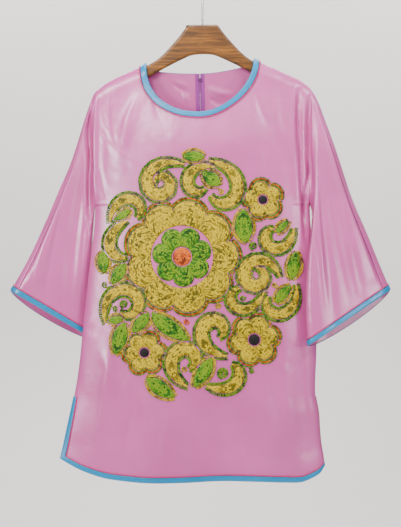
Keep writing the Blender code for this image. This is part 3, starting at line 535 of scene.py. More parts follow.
def grid_mesh(patches, fine, place):
    """A sheet on rectangles of a cut, each cell split into fine parts each way. Its
    first UV map runs along the cut's columns and rows."""
    bm = bmesh.new()
    column = bm.verts.layers.float.new("column")
    row = bm.verts.layers.float.new("row")
    for c0, c1, r0, r1 in patches:
        made = bmesh.ops.create_grid(bm, x_segments=round((c1 - c0) * fine[0]),
                                     y_segments=round((r1 - r0) * fine[1]), size=0.5)
        for vert in made["verts"]:
            vert[column] = c0 + (vert.co.x + 0.5) * (c1 - c0)
            vert[row] = r0 + (vert.co.y + 0.5) * (r1 - r0)
            vert.co = (vert[column], vert[row], 0)
    if len(patches) > 1:
        bmesh.ops.remove_doubles(bm, verts=bm.verts[:], dist=0.002)
    uv = bm.loops.layers.uv.new("cut")
    for bm_face in bm.faces:
        bm_face.smooth = True
        for loop in bm_face.loops:
            loop[uv].uv = (loop.vert[column], loop.vert[row])
    for vert in bm.verts:
        vert.co = to_metres(place(vert[column], vert[row]))
    return bm


def add_piece(name, bm, finish, slot):
    mesh = bpy.data.meshes.new(name)
    bm.to_mesh(mesh)
    bm.free()
    made = bpy.data.objects.new(name, mesh)
    bpy.context.scene.collection.objects.link(made)
    mesh.materials.append(finish)
    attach(made, "garment")
    return made


def satin(name, colour, dark_tone_and_painted_shade, roughness, gloss_level):
    """Woven polyester satin: a smooth face with a soft, broad shine, a cloudy tone that differs
    at random, painted shade that makes the colour darker and redder where the surface turns away
    from the view, and fine threads that blur the gloss along them."""
    made, tree, shader = new_material(name, colour)
    place = node(tree, "ShaderNodeTexCoord")
    threads = node(tree, "ShaderNodeMapping", [("Vector", place, "Object")], Scale=(2600, 2600, 240))
    grain = node(tree, "ShaderNodeTexNoise", [("Vector", threads, "Vector")], Scale=1.0, Detail=2.0)
    cloud = node(tree, "ShaderNodeTexNoise", [("Vector", place, "Object")], Scale=9.0, Detail=2.0)
    facing_for_painted_shade = node(tree, "ShaderNodeLayerWeight", Blend=0.35)
    tone = node(tree, "ShaderNodeMapRange", [("Value", cloud, "Fac")], From_Min=0.3, From_Max=0.7,
                To_Min=0.0, To_Max=0.22)
    tint = node(tree, "ShaderNodeMix", [("Factor", tone, "Result")], data_type="RGBA")
    tint.inputs[6].default_value = linear(colour)
    tint.inputs[7].default_value = linear(dark_tone_and_painted_shade)
    # Painted shade: the colour goes towards the dark tone where the surface turns away from the view; the
    # cloud above only varies the tone at random.
    edge = node(tree, "ShaderNodeMath", [(0, facing_for_painted_shade, "Facing")], operation="POWER")
    edge.inputs[1].default_value = 2.0
    painted_edge_shade = node(tree, "ShaderNodeMix", [("Factor", edge, "Value"), (6, tint, 2)], data_type="RGBA")
    painted_edge_shade.inputs[7].default_value = linear(dark_tone_and_painted_shade)
    tree.links.new(shader.inputs["Base Color"], painted_edge_shade.outputs[2])
    gloss = node(tree, "ShaderNodeMapRange", [("Value", grain, "Fac")], From_Min=0.25, From_Max=0.75,
                 To_Min=roughness - 0.04, To_Max=roughness + 0.05)
    tree.links.new(shader.inputs["Roughness"], gloss.outputs["Result"])
    crinkle = node(tree, "ShaderNodeTexNoise", [("Vector", place, "Object")], Scale=75.0, Detail=2.0)
    soft = node(tree, "ShaderNodeBump", [("Height", crinkle, "Fac")], Strength=0.5, Distance=0.0006)
    bump = node(tree, "ShaderNodeBump", [("Height", grain, "Fac"), ("Normal", soft, "Normal")], Strength=0.12,
                Distance=0.0003)
    tree.links.new(shader.inputs["Normal"], bump.outputs["Normal"])
    shader.inputs["Specular IOR Level"].default_value = gloss_level
    shader.inputs["Anisotropic"].default_value = 0.35
    shader.inputs["Sheen Weight"].default_value = 0.25
    shader.inputs["Sheen Roughness"].default_value = 0.35
    shader.inputs["Sheen Tint"].default_value = linear(colour)
    return made


ZIP_BOTTOM_ROW = ARM_ROWS + 2
# The round field of the embroidery: x and height of its middle, half width, half height.
FIELD = (-10.0, -534.0, 199.0, 244.0)
# Heights of the cloth's unevenness: round the embroidery, broad, fine, and along the seams.
PUCKER = 1.0
BROAD_WAVE = 0.9
FINE_WAVE = 0.18
SEAM_PUCKER = 0.5
CREASES = {
    # from x, z to x, z, half width, height outward
    "front": (
        (-209, -190, -206, -345, 5, -10.0), (-209, -290, -208, -455, 5, -9.5),
        (-197, -192, -197, -430, 6, 4.0), (181, -178, 189, -330, 4.5, -8.0),
        (187, -270, 195, -436, 4.5, -8.0),
        (193, -190, 194, -395, 4, 4.5), (202, -192, 202, -380, 4.5, -9.0), (202, -310, 193, -480, 4.5, -7.0),
        (-216, -215, -322, -585, 13, 3.5), (-224, -330, -250, -620, 9, -3.0),
        (222, -215, 330, -590, 12, 3.5),
        (172, -170, 178, -400, 6, 2.4),
        (-196, -215, -150, -300, 5, 1.6), (-200, -260, -120, -330, 6, 1.3),
        (-190, -330, -165, -420, 6, -1.5), (-175, -190, -165, -300, 5, 1.4),
        (-125, -200, -150, -290, 7, 1.8), (-92, -180, -70, -260, 6, -0.9),
        (140, -180, 150, -290, 7, 1.6), (100, -185, 128, -262, 6, -0.9), (165, -400, 195, -520, 6, 1.3),
        (-206, -430, -180, -560, 6, 1.2), (-150, -590, -200, -870, 7, 1.8),
        (-60, -790, -72, -905, 9, 1.3), (80, -800, 92, -905, 9, 1.2),
        (0, -780, -6, -905, 10, -1.0), (150, -620, 172, -890, 8, 1.6),
        (185, -640, 205, -850, 6, -1.4), (-120, -760, -150, -905, 8, -1.2),
        (-228, -280, -330, -560, 4, 1.4), (-246, -340, -300, -600, 5, -1.6),
        (-222, -330, -248, -560, 4, 1.8), (-216, -400, -226, -600, 3.5, -1.6),
        (-290, -450, -318, -600, 5, 1.2), (240, -280, 330, -560, 4, 1.4),
        (226, -330, 276, -600, 5, -1.8), (214, -330, 232, -600, 4, 2.0),
        (206, -420, 214, -640, 4, -1.6), (262, -400, 300, -600, 5, 1.3),
        # broad soft folds between the embroidery and the hem
        (-178, -640, -150, -906, 17, 3.0), (-118, -690, -76, -906, 20, -3.6), (-30, -770, -20, -906, 20, 2.4),
        (40, -770, 66, -906, 22, -3.0), (112, -730, 150, -906, 20, 3.0), (176, -660, 200, -906, 14, -2.4),
    ),
    "back": (
        (-70, -146, -18, -176, 5, -2.6), (-64, -160, -12, -196, 5, 2.4), (-48, -140, -8, -160, 4, 2.2),
        (-40, -182, -6, -214, 5, -2.4), (6, -150, 52, -158, 4, 2.2), (8, -176, 60, -192, 5, -2.8),
        (4, -188, 50, -214, 6, 2.6), (20, -146, 70, -150, 4, -2.0),
        (-150, -190, -190, -400, 8, 1.6), (-90, -200, -120, -420, 9, 1.2), (95, -200, 125, -420, 9, 1.3),
        (150, -190, 185, -400, 8, 1.6), (-40, -330, -48, -560, 8, -1.1), (36, -320, 44, -570, 8, 1.1),
        (-150, -560, -190, -880, 9, 1.6), (-60, -700, -70, -905, 10, 1.3), (70, -700, 84, -905, 10, 1.4),
        (150, -560, 185, -880, 9, 1.6), (-228, -280, -330, -570, 6, 1.6), (-220, -360, -270, -620, 6, -1.5),
        (228, -280, 325, -570, 6, 1.6), (222, -360, 262, -640, 6, -1.5),
    ),
}


def crease(face, x, z):
    """Height outward of the fine creases at a point of the picture plane."""
    rise = 0.0
    for x0, z0, x1, z1, width, height in CREASES[face]:
        run = ((x - x0) * (x1 - x0) + (z - z0) * (z1 - z0)) / ((x1 - x0) ** 2 + (z1 - z0) ** 2)
        if 0 < run < 1:
            bow = 5 * math.sin(math.pi * run)
            off = ((x - x0) * (z1 - z0) - (z - z0) * (x1 - x0)) / math.hypot(x1 - x0, z1 - z0)
            off = (off - bow) / (width * (0.6 + 0.7 * run))
            if abs(off) < 3:
                rise += height * math.exp(-off * off) * math.sin(math.pi * run) ** 0.8
    return rise


def drape(bm, face):
    """Moves a panel's points along their normals by its creases and soft unevenness.
    Seams and bound edges stay where they are sewn."""
    bm.normal_update()
    column = bm.verts.layers.float["column"]
    row = bm.verts.layers.float["row"]
    out = OUTWARD[face]
    for vert in bm.verts:
        c, r = vert[column], vert[row]
        on_sleeve = c < 0 or c > COLUMNS
        at_neck = abs(c - MIDDLE) < MIDDLE - NECK_COLUMN + 0.5
        seam = clamp((r - 1.4) / 0.7) if at_neck else clamp(r / 0.6)
        if face == "back" and r < ZIP_BOTTOM_ROW + 1:
            seam *= clamp((abs(c - MIDDLE) - 0.28) / 0.3)
        under = smooth((ARM_ROWS - r) / 2)
        if on_sleeve:
            seam *= under * clamp((BAND_COLUMN - 0.1 - max(-c, c - COLUMNS)) / 0.8)
        else:
            bound = 2.1 * clamp(r - SLIT_ROW + 1)
            beside = clamp((min(c, COLUMNS - c) - bound) / 1.2)
            seam *= clamp((BAND_ROW - 0.1 - r) / 0.8) * (under + (1 - under) * beside)
        x, z = vert.co.x / MM, vert.co.z / MM + SEAT_RISE
        lift = crease(face, x, z)
        field = math.hypot((x - FIELD[0]) / FIELD[2], (z - FIELD[1]) / FIELD[3])
        if face == "front":
            turn = math.atan2(z - FIELD[1], x - FIELD[0])
            ring = math.exp(-((field - 1.07) / 0.05) ** 2)
            lift += PUCKER * ring * noise.noise(Vector((math.cos(turn) * 14, math.sin(turn) * 14, 2.0)))
        lift += BROAD_WAVE * noise.noise(Vector((x * 0.028, z * 0.011, out * 3.0)))
        lift += FINE_WAVE * noise.noise(Vector((x * 0.085, z * 0.05, out * 7.0)))
        if face == "front":
            lift *= smooth((field - 0.96) / 0.14)
        if r < 1.2:
            lift += SEAM_PUCKER * noise.noise(Vector((x * 0.16, z * 0.16, 5.0))) * (1.2 - r)
        normal = vert.normal if vert.normal.y * out > 0 or abs(vert.normal.y) < 0.4 else -vert.normal
        groove = 0.0 if at_neck or (r > ARM_ROWS and not on_sleeve) else math.exp(-(r / 0.11) ** 2)
        vert.co += normal * ((lift * smooth(seam) - groove) * MM)


# The second colour is the dark tone for random clouding and for the painted shade where the satin turns away
# from the view.
PINK_SATIN = satin("pink_polyester_satin", "#cb589e", "#7a2252", 0.33, 1.0)
SLEEVE_LEFT = (-CUFF_COLUMN, 0, 0, ARM_ROWS)
SLEEVE_RIGHT = (COLUMNS, COLUMNS + CUFF_COLUMN, 0, ARM_ROWS)
ZIP_HALF_GAP = 1.0
PANEL_FINE = ((8, 8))


def thicken(piece, thick, offset):
    """Gives a sheet a wall: inside its surface where offset is -1, astride it where 0."""
    wall = piece.modifiers.new("wall", "SOLIDIFY")
    wall.thickness = thick * MM
    wall.offset = offset


def make_panel(name, face, patches, zip_side):
    """A panel of the cut with its wall. zip_side is the side of the centre back that it lies
    on."""
    def place(column, row):
        point = panel_point(face, column, row)
        if 0 < column < COLUMNS and 5 < row < SLIT_ROW - 2:
            evened = soft_depth(face, point.x, point.z) - body_depth(face, point.x, point.z)
            point.y += OUTWARD[face] * evened
        if zip_side and column == MIDDLE:
            point.x += zip_side * (ZIP_HALF_GAP if row <= ZIP_BOTTOM_ROW else SEAM_HALF)
        return point

    bm = grid_mesh(patches, PANEL_FINE, place)
    bmesh.ops.recalc_face_normals(bm, faces=bm.faces[:])
    middle = min(bm.faces, key=lambda f: (f.calc_center_median() - Vector((0, 0, -0.6))).length)
    if middle.normal.y * OUTWARD[face] < 0:
        bmesh.ops.reverse_faces(bm, faces=bm.faces[:])
    drape(bm, face)
    made = add_piece(name + "_cloth", bm, PINK_SATIN, "pink_satin")
    thicken(made, WALL, -1)
    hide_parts(name)


make_panel("front", "front", (SLEEVE_LEFT, (0, COLUMNS, 0, HEM_ROW), SLEEVE_RIGHT), 0)
make_panel("back_left", "back", (SLEEVE_LEFT, (0, MIDDLE, 0, HEM_ROW)), -1)
make_panel("back_right", "back", ((MIDDLE, COLUMNS, 0, HEM_ROW), SLEEVE_RIGHT), 1)

# The blue satin binding: bias tape 10 mm wide, folded over each raw edge and stitched down,
# so that it is a little fuller than the cloth below and rounds over the edge.
GAP = 0.3
FOLD_OVER = 0.3
TAPE_FALL = 2.4
TAPE_THICK = 0.35
TAPE_FULL = 1.0
SEWN_REACH = 0.15
# The second colour is the dark tone for random clouding and for the painted shade where the binding turns
# away from the view.
BLUE_SATIN = satin("blue_polyester_satin", "#0082b4", "#004474", 0.3, 0.5)


def tape_rise(share):
    """Height of the tape off the cloth; share runs from its sewn edge to the folded one."""
    full = math.sqrt(max(1 - abs(2 * share - 1) ** 5, 0.0))
    return GAP + SEWN_REACH + TAPE_FULL * full


def cloth_point(face, column, row, out):
    """Point at a distance off the cloth at any column and row of the cut."""
    reach = 0.12
    low_c, high_c = max(column - reach, 0.0), min(column + reach, COLUMNS)
    low_r, high_r = max(row - reach, 0.0), min(row + reach, HEM_ROW)
    across = panel_point(face, high_c, row) - panel_point(face, low_c, row)
    down = panel_point(face, column, high_r) - panel_point(face, column, low_r)
    normal = across.cross(down).normalized() * OUTWARD[face]
    return panel_point(face, column, row) + normal * out


def hem_tape(face, column, row):
    inside = Vector((clamp(column, 0, COLUMNS), min(row, HEM_ROW)))
    over = max(inside.x - column, column - inside.x, row - HEM_ROW, 0.0) / FOLD_OVER
    share = 1 - min(inside.x / 2, (COLUMNS - inside.x) / 2, HEM_ROW - inside.y)
    point = cloth_point(face, inside.x, inside.y, tape_rise(clamp(share)) - TAPE_FALL * over)
    if row > HEM_ROW:
        point.z -= 0.5 * math.sin(math.pi * clamp(over))
    return point


def tape_piece(name, bm):
    bmesh.ops.recalc_face_normals(bm, faces=bm.faces[:])
    made = add_piece(name + "_tape", bm, BLUE_SATIN, "blue_satin")
    thicken(made, TAPE_THICK, 0)
    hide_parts(name)


for face in ("front", "back"):
    low = HEM_ROW + FOLD_OVER
    stretches = ((-FOLD_OVER, 2, SLIT_ROW, low), (2, COLUMNS - 2, BAND_ROW, low),
                 (COLUMNS - 2, COLUMNS + FOLD_OVER, SLIT_ROW, low))
    tape_piece("hem_binding_" + face, grid_mesh(
        stretches, (6, 10), lambda c, r, face=face: hem_tape(face, c, r)))


def cuff_surface(side, along, angle, out):
    """Point at a distance off a sleeve's cloth; the angle runs right round it."""
    turn = 0.03
    angle = (angle + math.pi) % (2 * math.pi) - math.pi
    around = sleeve_section(side, along, angle + turn) - sleeve_section(side, along, angle - turn)
    length = sleeve_section(side, along, angle) - sleeve_section(side, along - 0.02, angle)
    middle = (sleeve_section(side, along, math.pi / 2) + sleeve_section(side, along, -math.pi / 2)) / 2
    point = sleeve_section(side, along, angle)
    normal = around.cross(length).normalized()
    return point + normal * (out if normal.dot(point - middle) > 0 else -out), length.normalized()


def above_cuff(side, angle, distance):
    """Place along a sleeve at a distance above its cuff, worked out on its last stretch."""
    stretch = 0.05
    reach = (sleeve_section(side, 1.0, angle) - sleeve_section(side, 1 - stretch, angle)).length
    return 1 - stretch * distance / reach


CUFF_PARTS = 40
for side in ("left", "right"):
    def cuff_tape(column, row, side=side):
        angle = 2 * math.pi * column / CUFF_PARTS
        over = max(row - 1, 0.0) / FOLD_OVER
        along = above_cuff(side, angle, BAND * (1 - min(row, 1.0)))
        point, down = cuff_surface(side, along, angle, tape_rise(min(row, 1.0)) - TAPE_FALL * over)
        return point + down * 0.5 * math.sin(math.pi * clamp(over))

    bm = grid_mesh(((0, CUFF_PARTS, 0, 1 + FOLD_OVER),), (4, 10), cuff_tape)
    bmesh.ops.remove_doubles(bm, verts=bm.verts[:], dist=0.00002)
    tape_piece("cuff_binding_" + side, bm)


def body_surface(face, x, z, out):
    """Point at a distance off the body's outer surface, at a point of the picture plane."""
    sign = OUTWARD[face]
    reach = 0.5
    slope_x = sign * (body_depth(face, x + reach, z) - body_depth(face, x - reach, z)) / (2 * reach)
    slope_z = sign * (body_depth(face, x, z + reach) - body_depth(face, x, z - reach)) / (2 * reach)
    normal = Vector((-slope_x, 1.0, -slope_z)).normalized() * sign
    return Vector((x, sign * body_depth(face, x, z), z)) + normal * out


NECK_FINE = [a + (b - a) * half for a, b in zip(NECK_STEPS, NECK_STEPS[1:]) for half in (0.0, 0.5)]
NECK_OPEN = 0.9995
NECK_LIFT = 0.5
NECK_ROUTE = ([("back", -1, NECK_OPEN)] + [("back", -1, fall) for fall in NECK_FINE[:0:-1]]
              + [("ridge", -1, 0.0)] + [("front", -1, fall) for fall in NECK_FINE[1:]]
              + [("front", 1, 1.0)] + [("front", 1, fall) for fall in NECK_FINE[:0:-1]]
              + [("ridge", 1, 0.0)] + [("back", 1, fall) for fall in NECK_FINE[1:]]
              + [("back", 1, NECK_OPEN)])


def neck_point(step, out_from_edge, off):
    face, side, fall = NECK_ROUTE[step]
    if face == "ridge":
        x = NECK_MIDDLE + side * (NECK_HALF + out_from_edge)
        slope = shoulder(x + 1) - shoulder(x - 1)
        normal = Vector((-slope / 2, 0.0, 1.0)).normalized()
        return Vector((x, 0.0, shoulder(x))) + normal * (off + NECK_LIFT)
    x, z = neck_edge(face, side, fall, out_from_edge)
    return body_surface(face, x, z, off + NECK_LIFT)


def curve_through(points, parts):
    """Points on a smooth curve through the given ones, with parts between each two."""
    made = []
    for i in range(len(points) - 1):
        before, here = points[max(i - 1, 0)], points[i]
        there, after = points[i + 1], points[min(i + 2, len(points) - 1)]
        bend = 2 * before - 5 * here + 4 * there - after
        twist = 3 * here - before - 3 * there + after
        for k in range(parts):
            t = k / parts
            made.append(0.5 * (2 * here + (there - before) * t + bend * t * t + twist * t ** 3))
    return made + [points[-1]]


NECK_PARTS = 5
NECK_BAND_ROWS = 10
NECK_FOLD_ROWS = 3
neck_rows = []
for row in range(NECK_BAND_ROWS + NECK_FOLD_ROWS + 1):
    share = min(row / NECK_BAND_ROWS, 1.0)
    over = max(row / NECK_BAND_ROWS - 1, 0.0) / FOLD_OVER
    off = tape_rise(share) - NECK_LIFT / 2 - TAPE_FALL * over
    out = BAND * (1 - share) - 0.5 * math.sin(math.pi * clamp(over))
    neck_row = [neck_point(step, out, off) for step in range(len(NECK_ROUTE))]
    neck_rows.append(curve_through(neck_row, NECK_PARTS))
tape_piece("neck_binding", grid_mesh(
    ((0, len(neck_rows[0]) - 1, 0, NECK_BAND_ROWS + NECK_FOLD_ROWS),), (1, 1),
    lambda c, r: neck_rows[round(r)][round(c)]))

# The piping: a thin cord covered in magenta satin, caught in the seam beside the binding.
CORD = 0.8
CORD_SPACE = 0.4
CORD_SHOWN = 1.05


def covered_cord(name, colour, dark):
    """Satin wound over a cord: the weave runs slantwise, so its shine breaks in short marks."""
    made, tree, shader = new_material(name, colour)
    place = node(tree, "ShaderNodeTexCoord")
    threads = node(tree, "ShaderNodeTexNoise", [("Vector", place, "Object")], Scale=900.0, Detail=1.0)
    tone = node(tree, "ShaderNodeMix", [("Factor", threads, "Fac")], data_type="RGBA")
    tone.inputs[6].default_value = linear(colour)
    tone.inputs[7].default_value = linear(dark)
    tree.links.new(shader.inputs["Base Color"], tone.outputs[2])
    bump = node(tree, "ShaderNodeBump", [("Height", threads, "Fac")], Strength=0.3, Distance=0.0002)
    tree.links.new(shader.inputs["Normal"], bump.outputs["Normal"])
    shader.inputs["Roughness"].default_value = 0.42
    shader.inputs["Sheen Weight"].default_value = 0.2
    return made


MAGENTA = covered_cord("magenta_satin_cord", "#c4006a", "#94004c")


def round_cord(name, points, radius, finish, closed=False, rounding=3):
    """A round cord or wire through points, with filled ends."""
    data = bpy.data.curves.new(name, "CURVE")
    data.dimensions = "3D"
    data.bevel_depth = radius * MM
    data.bevel_resolution = rounding
    data.use_fill_caps = True
    spline = data.splines.new("POLY")
    spline.points.add(len(points) - 1)
    for knot, point in zip(spline.points, points):
        knot.co = (*to_metres(point), 1.0)
    spline.use_cyclic_u = closed
    spline.use_smooth = True
    made = bpy.data.objects.new(name + "_cord", data)
    bpy.context.scene.collection.objects.link(made)
    data.materials.append(finish)
    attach(made, "garment")
    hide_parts(name)


for face in ("front", "back"):
    def beside(row, near, far, face=face):
        """Column just outside the binding of a slit, beside column near."""
        step = (panel_point(face, far, row) - panel_point(face, near, row)).length
        return near + (far - near) * (CORD + CORD_SPACE) / step

    band_cell = (panel_point(face, MIDDLE, BAND_ROW) - panel_point(face, MIDDLE, BAND_ROW - 1)).length
    above = BAND_ROW - (CORD + CORD_SPACE) / band_cell
    slit_rows = [SLIT_ROW + 0.125 * i for i in range(8 * (BAND_ROW - SLIT_ROW))]
    route = [(beside(row, 2, 3), row) for row in slit_rows] + [(beside(BAND_ROW, 2, 3), above)]
    route += [(3 + 0.2 * i, above) for i in range(5 * (COLUMNS - 6) + 1)]
    route += [(beside(BAND_ROW, COLUMNS - 2, COLUMNS - 3), above)]
    route += [(beside(row, COLUMNS - 2, COLUMNS - 3), row) for row in slit_rows[::-1]]
    cord_points = [cloth_point(face, c, r, GAP + CORD_SHOWN) for c, r in route]
    round_cord("hem_piping_" + face, cord_points, CORD_SHOWN, MAGENTA)
for side in ("left", "right"):
    cord_points = []
    for at in range(100):
        angle = 2 * math.pi * at / 100
        along = above_cuff(side, angle, BAND + CORD + CORD_SPACE)
        cord_points.append(cuff_surface(side, along, angle, GAP + CORD_SHOWN)[0])
    round_cord("cuff_piping_" + side, cord_points, CORD_SHOWN, MAGENTA, closed=True)
neck_line = [neck_point(step, BAND + CORD + CORD_SPACE, 2 * GAP + CORD) for step in range(len(NECK_ROUTE))]
round_cord("neck_piping", curve_through(neck_line, NECK_PARTS), CORD_SHOWN, MAGENTA)


# The zip: woven polyester tape with a nylon coil sewn to it, and an enamelled slider whose
# flat pull tab hangs outside the back.


def woven_tape(name, colour, dark):
    """Twill tape: ribs 0.8 mm apart, drawn a little coarse so that they show."""
    made, tree, shader = new_material(name, colour)
    place = node(tree, "ShaderNodeTexCoord")
    ribs = node(tree, "ShaderNodeTexWave", [("Vector", place, "Object")], Scale=380.0, Distortion=1.0,
                bands_direction="DIAGONAL")
    tone = node(tree, "ShaderNodeMix", [("Factor", ribs, "Fac")], data_type="RGBA")
    tone.inputs[6].default_value = linear(colour)
    tone.inputs[7].default_value = linear(dark)
    tree.links.new(shader.inputs["Base Color"], tone.outputs[2])
    bump = node(tree, "ShaderNodeBump", [("Height", ribs, "Fac")], Strength=0.35, Distance=0.0003)
    tree.links.new(shader.inputs["Normal"], bump.outputs["Normal"])
    shader.inputs["Roughness"].default_value = 0.6
    shader.inputs["Sheen Weight"].default_value = 0.3
    return made


def enamel(name, colour):
    """Zinc casting dipped in coloured enamel: smooth, with faint unevenness in its gloss."""
    made, tree, shader = new_material(name, colour)
    place = node(tree, "ShaderNodeTexCoord")
    wear = node(tree, "ShaderNodeTexNoise", [("Vector", place, "Object")], Scale=400.0)
    gloss = node(tree, "ShaderNodeMapRange", [("Value", wear, "Fac")], To_Min=0.18, To_Max=0.4)
    tree.links.new(shader.inputs["Roughness"], gloss.outputs["Result"])
    shader.inputs["Base Color"].default_value = linear(colour)
    shader.inputs["Coat Weight"].default_value = 0.5
    return made


ZIP_TAPE = woven_tape("zip_twill_tape", "#9c2c94", "#742070")
ZIP_COIL = woven_tape("zip_nylon_coil", "#a43c9c", "#7c2876")
ZIP_METAL = enamel("zip_enamel", "#5b2a55")
ZIP_TAPE_THICK = 0.7
CHAIN_TOP = 1.6
for name, finish in (("zip_tape_left", ZIP_TAPE), ("zip_tape_right", ZIP_TAPE),
                     ("zip_slider", ZIP_METAL), ("zip_pull", ZIP_METAL)):
    materials = bpy.data.objects[name].data.materials
    materials.clear()
    materials.append(finish)


def zip_point(offset, row, inward):
    """Point beside the centre line of the back, inside its wall."""
    side = -1 if offset < 0 else 1
    middle = cloth_point("back", MIDDLE, row, -WALL - GAP - inward)
    step = cloth_point("back", MIDDLE + side * 0.5, row, -WALL - GAP - inward) - middle
    return middle + step * (abs(offset) / step.length)


def coil_turn(bm, offset, row, halves):
    """One turn of the coil beside the centre line, of the given half sizes."""
    middle = to_metres(zip_point(offset, row, ZIP_TAPE_THICK + GAP + TURN_MIDDLE))
    size = Matrix.Diagonal((*(half * MM for half in halves), 1.0))
    place = Matrix.Translation(middle) @ size
    bmesh.ops.create_uvsphere(bm, u_segments=6, v_segments=4, radius=1.0, matrix=place)


TURN_PITCH = 1.15
TURN_MIDDLE = 0.6
CLOSED_HALVES = (1.9, 0.5, 0.62)
CLOSED_OFFSET = 0.5
OPEN_HALVES = (1.1, 0.5, 0.55)
OPEN_OFFSET = 1.25
OPEN_TURNS = 36
bm = bmesh.new()
zip_row, side = CHAIN_TOP, -1
while zip_row < ZIP_BOTTOM_ROW - 0.05:
    coil_turn(bm, side * CLOSED_OFFSET, zip_row, CLOSED_HALVES)
    fall = (zip_point(1.0, zip_row, 0) - zip_point(1.0, zip_row + 0.1, 0)).length
    zip_row += 0.1 * TURN_PITCH / fall
    side = -side
for number in range(OPEN_TURNS):
    for side in (-1, 1):
        coil_turn(bm, side * OPEN_OFFSET, 0.1 + number / 30, OPEN_HALVES)
for bm_face in bm.faces:
    bm_face.smooth = True
coil = add_piece("zip_coil", bm, ZIP_COIL, "zip_tape")
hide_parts("zip_chain")

# The hanger: a shaped blank of lacquered beech with rounded edges, and a plated steel hook
# screwed into its neck.
HANGER_THICK = 11.0
HANGER_ROUND = 4.5
HANGER_TOP = (
    # distance from the middle, height, from the middle out to the end of the arm
    (27, -63), (31, -66.5), (40, -79), (53, -94.5), (71, -114), (86, -127), (98, -134.2),
    (107, -138.2), (119, -144.7), (135, -151.7), (154, -160.0), (170, -167.2), (184, -174.8), (190, -180.0),
)
HANGER_LOW = (
    # the lower edge, from the end of the arm back to the middle
    (193, -187), (190, -195), (182, -197), (160, -187), (130, -173), (95, -156), (68, -141.5),
    (37, -126.5), (16, -119),
)


def lacquered_wood(name, light, mid, dark):
    """Beech under amber lacquer: long grain along the arms, about 4 mm apart, darker
    flecks, and a clear coat that gives sharp small highlights."""
    made, tree, shader = new_material(name, mid)
    place = node(tree, "ShaderNodeTexCoord")
    long_grain = node(tree, "ShaderNodeMapping", [("Vector", place, "Object")], Scale=(9, 120, 120))
    rings = node(tree, "ShaderNodeTexNoise", [("Vector", long_grain, "Vector")], Scale=1.6, Detail=5.0,
                 Distortion=0.6)
    fleck = node(tree, "ShaderNodeMapping", [("Vector", place, "Object")], Scale=(60, 900, 900))
    fine = node(tree, "ShaderNodeTexNoise", [("Vector", fleck, "Vector")], Scale=1.0, Detail=2.0)
    ramp = node(tree, "ShaderNodeValToRGB", [("Fac", rings, "Fac")])
    ramp.color_ramp.elements[0].position, ramp.color_ramp.elements[0].color = 0.32, linear(dark)
    ramp.color_ramp.elements[1].position, ramp.color_ramp.elements[1].color = 0.7, linear(light)
    ramp.color_ramp.elements.new(0.5).color = linear(mid)
    speck = node(tree, "ShaderNodeMapRange", [("Value", fine, "Fac")], From_Min=0.35, From_Max=0.65,
                 To_Min=0.72, To_Max=1.08)
    mixed = node(tree, "ShaderNodeVectorMath", [(0, ramp, "Color"), (1, speck, "Result")],
                 operation="MULTIPLY")
    tree.links.new(shader.inputs["Base Color"], mixed.outputs["Vector"])
    bump = node(tree, "ShaderNodeBump", [("Height", fine, "Fac")], Strength=0.1, Distance=0.0002)
    tree.links.new(shader.inputs["Normal"], bump.outputs["Normal"])
    shader.inputs["Roughness"].default_value = 0.42
    shader.inputs["Coat Weight"].default_value = 0.2
    shader.inputs["Coat Roughness"].default_value = 0.12
    return made


def plated_steel(name):
    """Steel wire with bright zinc plating, drawn marks along it faint enough to blur only."""
    made, tree, shader = new_material(name, "#c9cace")
    place = node(tree, "ShaderNodeTexCoord")
    drawn = node(tree, "ShaderNodeTexNoise", [("Vector", place, "Object")], Scale=700.0)
    gloss = node(tree, "ShaderNodeMapRange", [("Value", drawn, "Fac")], To_Min=0.16, To_Max=0.34)
    tree.links.new(shader.inputs["Roughness"], gloss.outputs["Result"])
    shader.inputs["Base Color"].default_value = linear("#c9cace")
    shader.inputs["Metallic"].default_value = 1.0
    return made


WOOD = lacquered_wood("lacquered_beech", "#935a0c", "#6c3f04", "#3f2502")
STEEL = plated_steel("plated_steel")
right_edge = HANGER_TOP + HANGER_LOW
outline = [Vector((x, 0, z + TILT * x)) for x, z in right_edge]
outline += [Vector((-x, 0, z - TILT * x)) for x, z in right_edge[::-1]]
outline = curve_through(outline + outline[:1], 4)[:-1]
data = bpy.data.curves.new("hanger", "CURVE")
data.dimensions = "2D"
data.fill_mode = "BOTH"
data.extrude = (HANGER_THICK / 2 - HANGER_ROUND) * MM
data.bevel_depth = HANGER_ROUND * MM
data.bevel_resolution = 5
data.offset = -HANGER_ROUND * MM
spline = data.splines.new("POLY")
spline.points.add(len(outline) - 1)
for knot, point in zip(spline.points, outline):
    knot.co = (point.x * MM, point.z * MM, 0.0, 1.0)
spline.use_cyclic_u = True
guide = bpy.data.objects.new("guide", data)
bpy.context.scene.collection.objects.link(guide)
bpy.context.view_layer.update()
mesh = bpy.data.meshes.new_from_object(guide.evaluated_get(bpy.context.evaluated_depsgraph_get()))
bpy.data.objects.remove(guide, do_unlink=True)
bm = bmesh.new()
bm.from_mesh(mesh)
bmesh.ops.remove_doubles(bm, verts=bm.verts[:], dist=0.00001)
for vert in bm.verts:
    vert.co = (vert.co.x, -vert.co.z, vert.co.y - SEAT_RISE * MM)
bmesh.ops.recalc_face_normals(bm, faces=bm.faces[:])
for bm_face in bm.faces:
    bm_face.smooth = abs(bm_face.normal.y) < 0.995
mesh.materials.clear()
wood = add_piece("hanger_blank", bm, WOOD, "hanger_wood")
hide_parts("hanger")

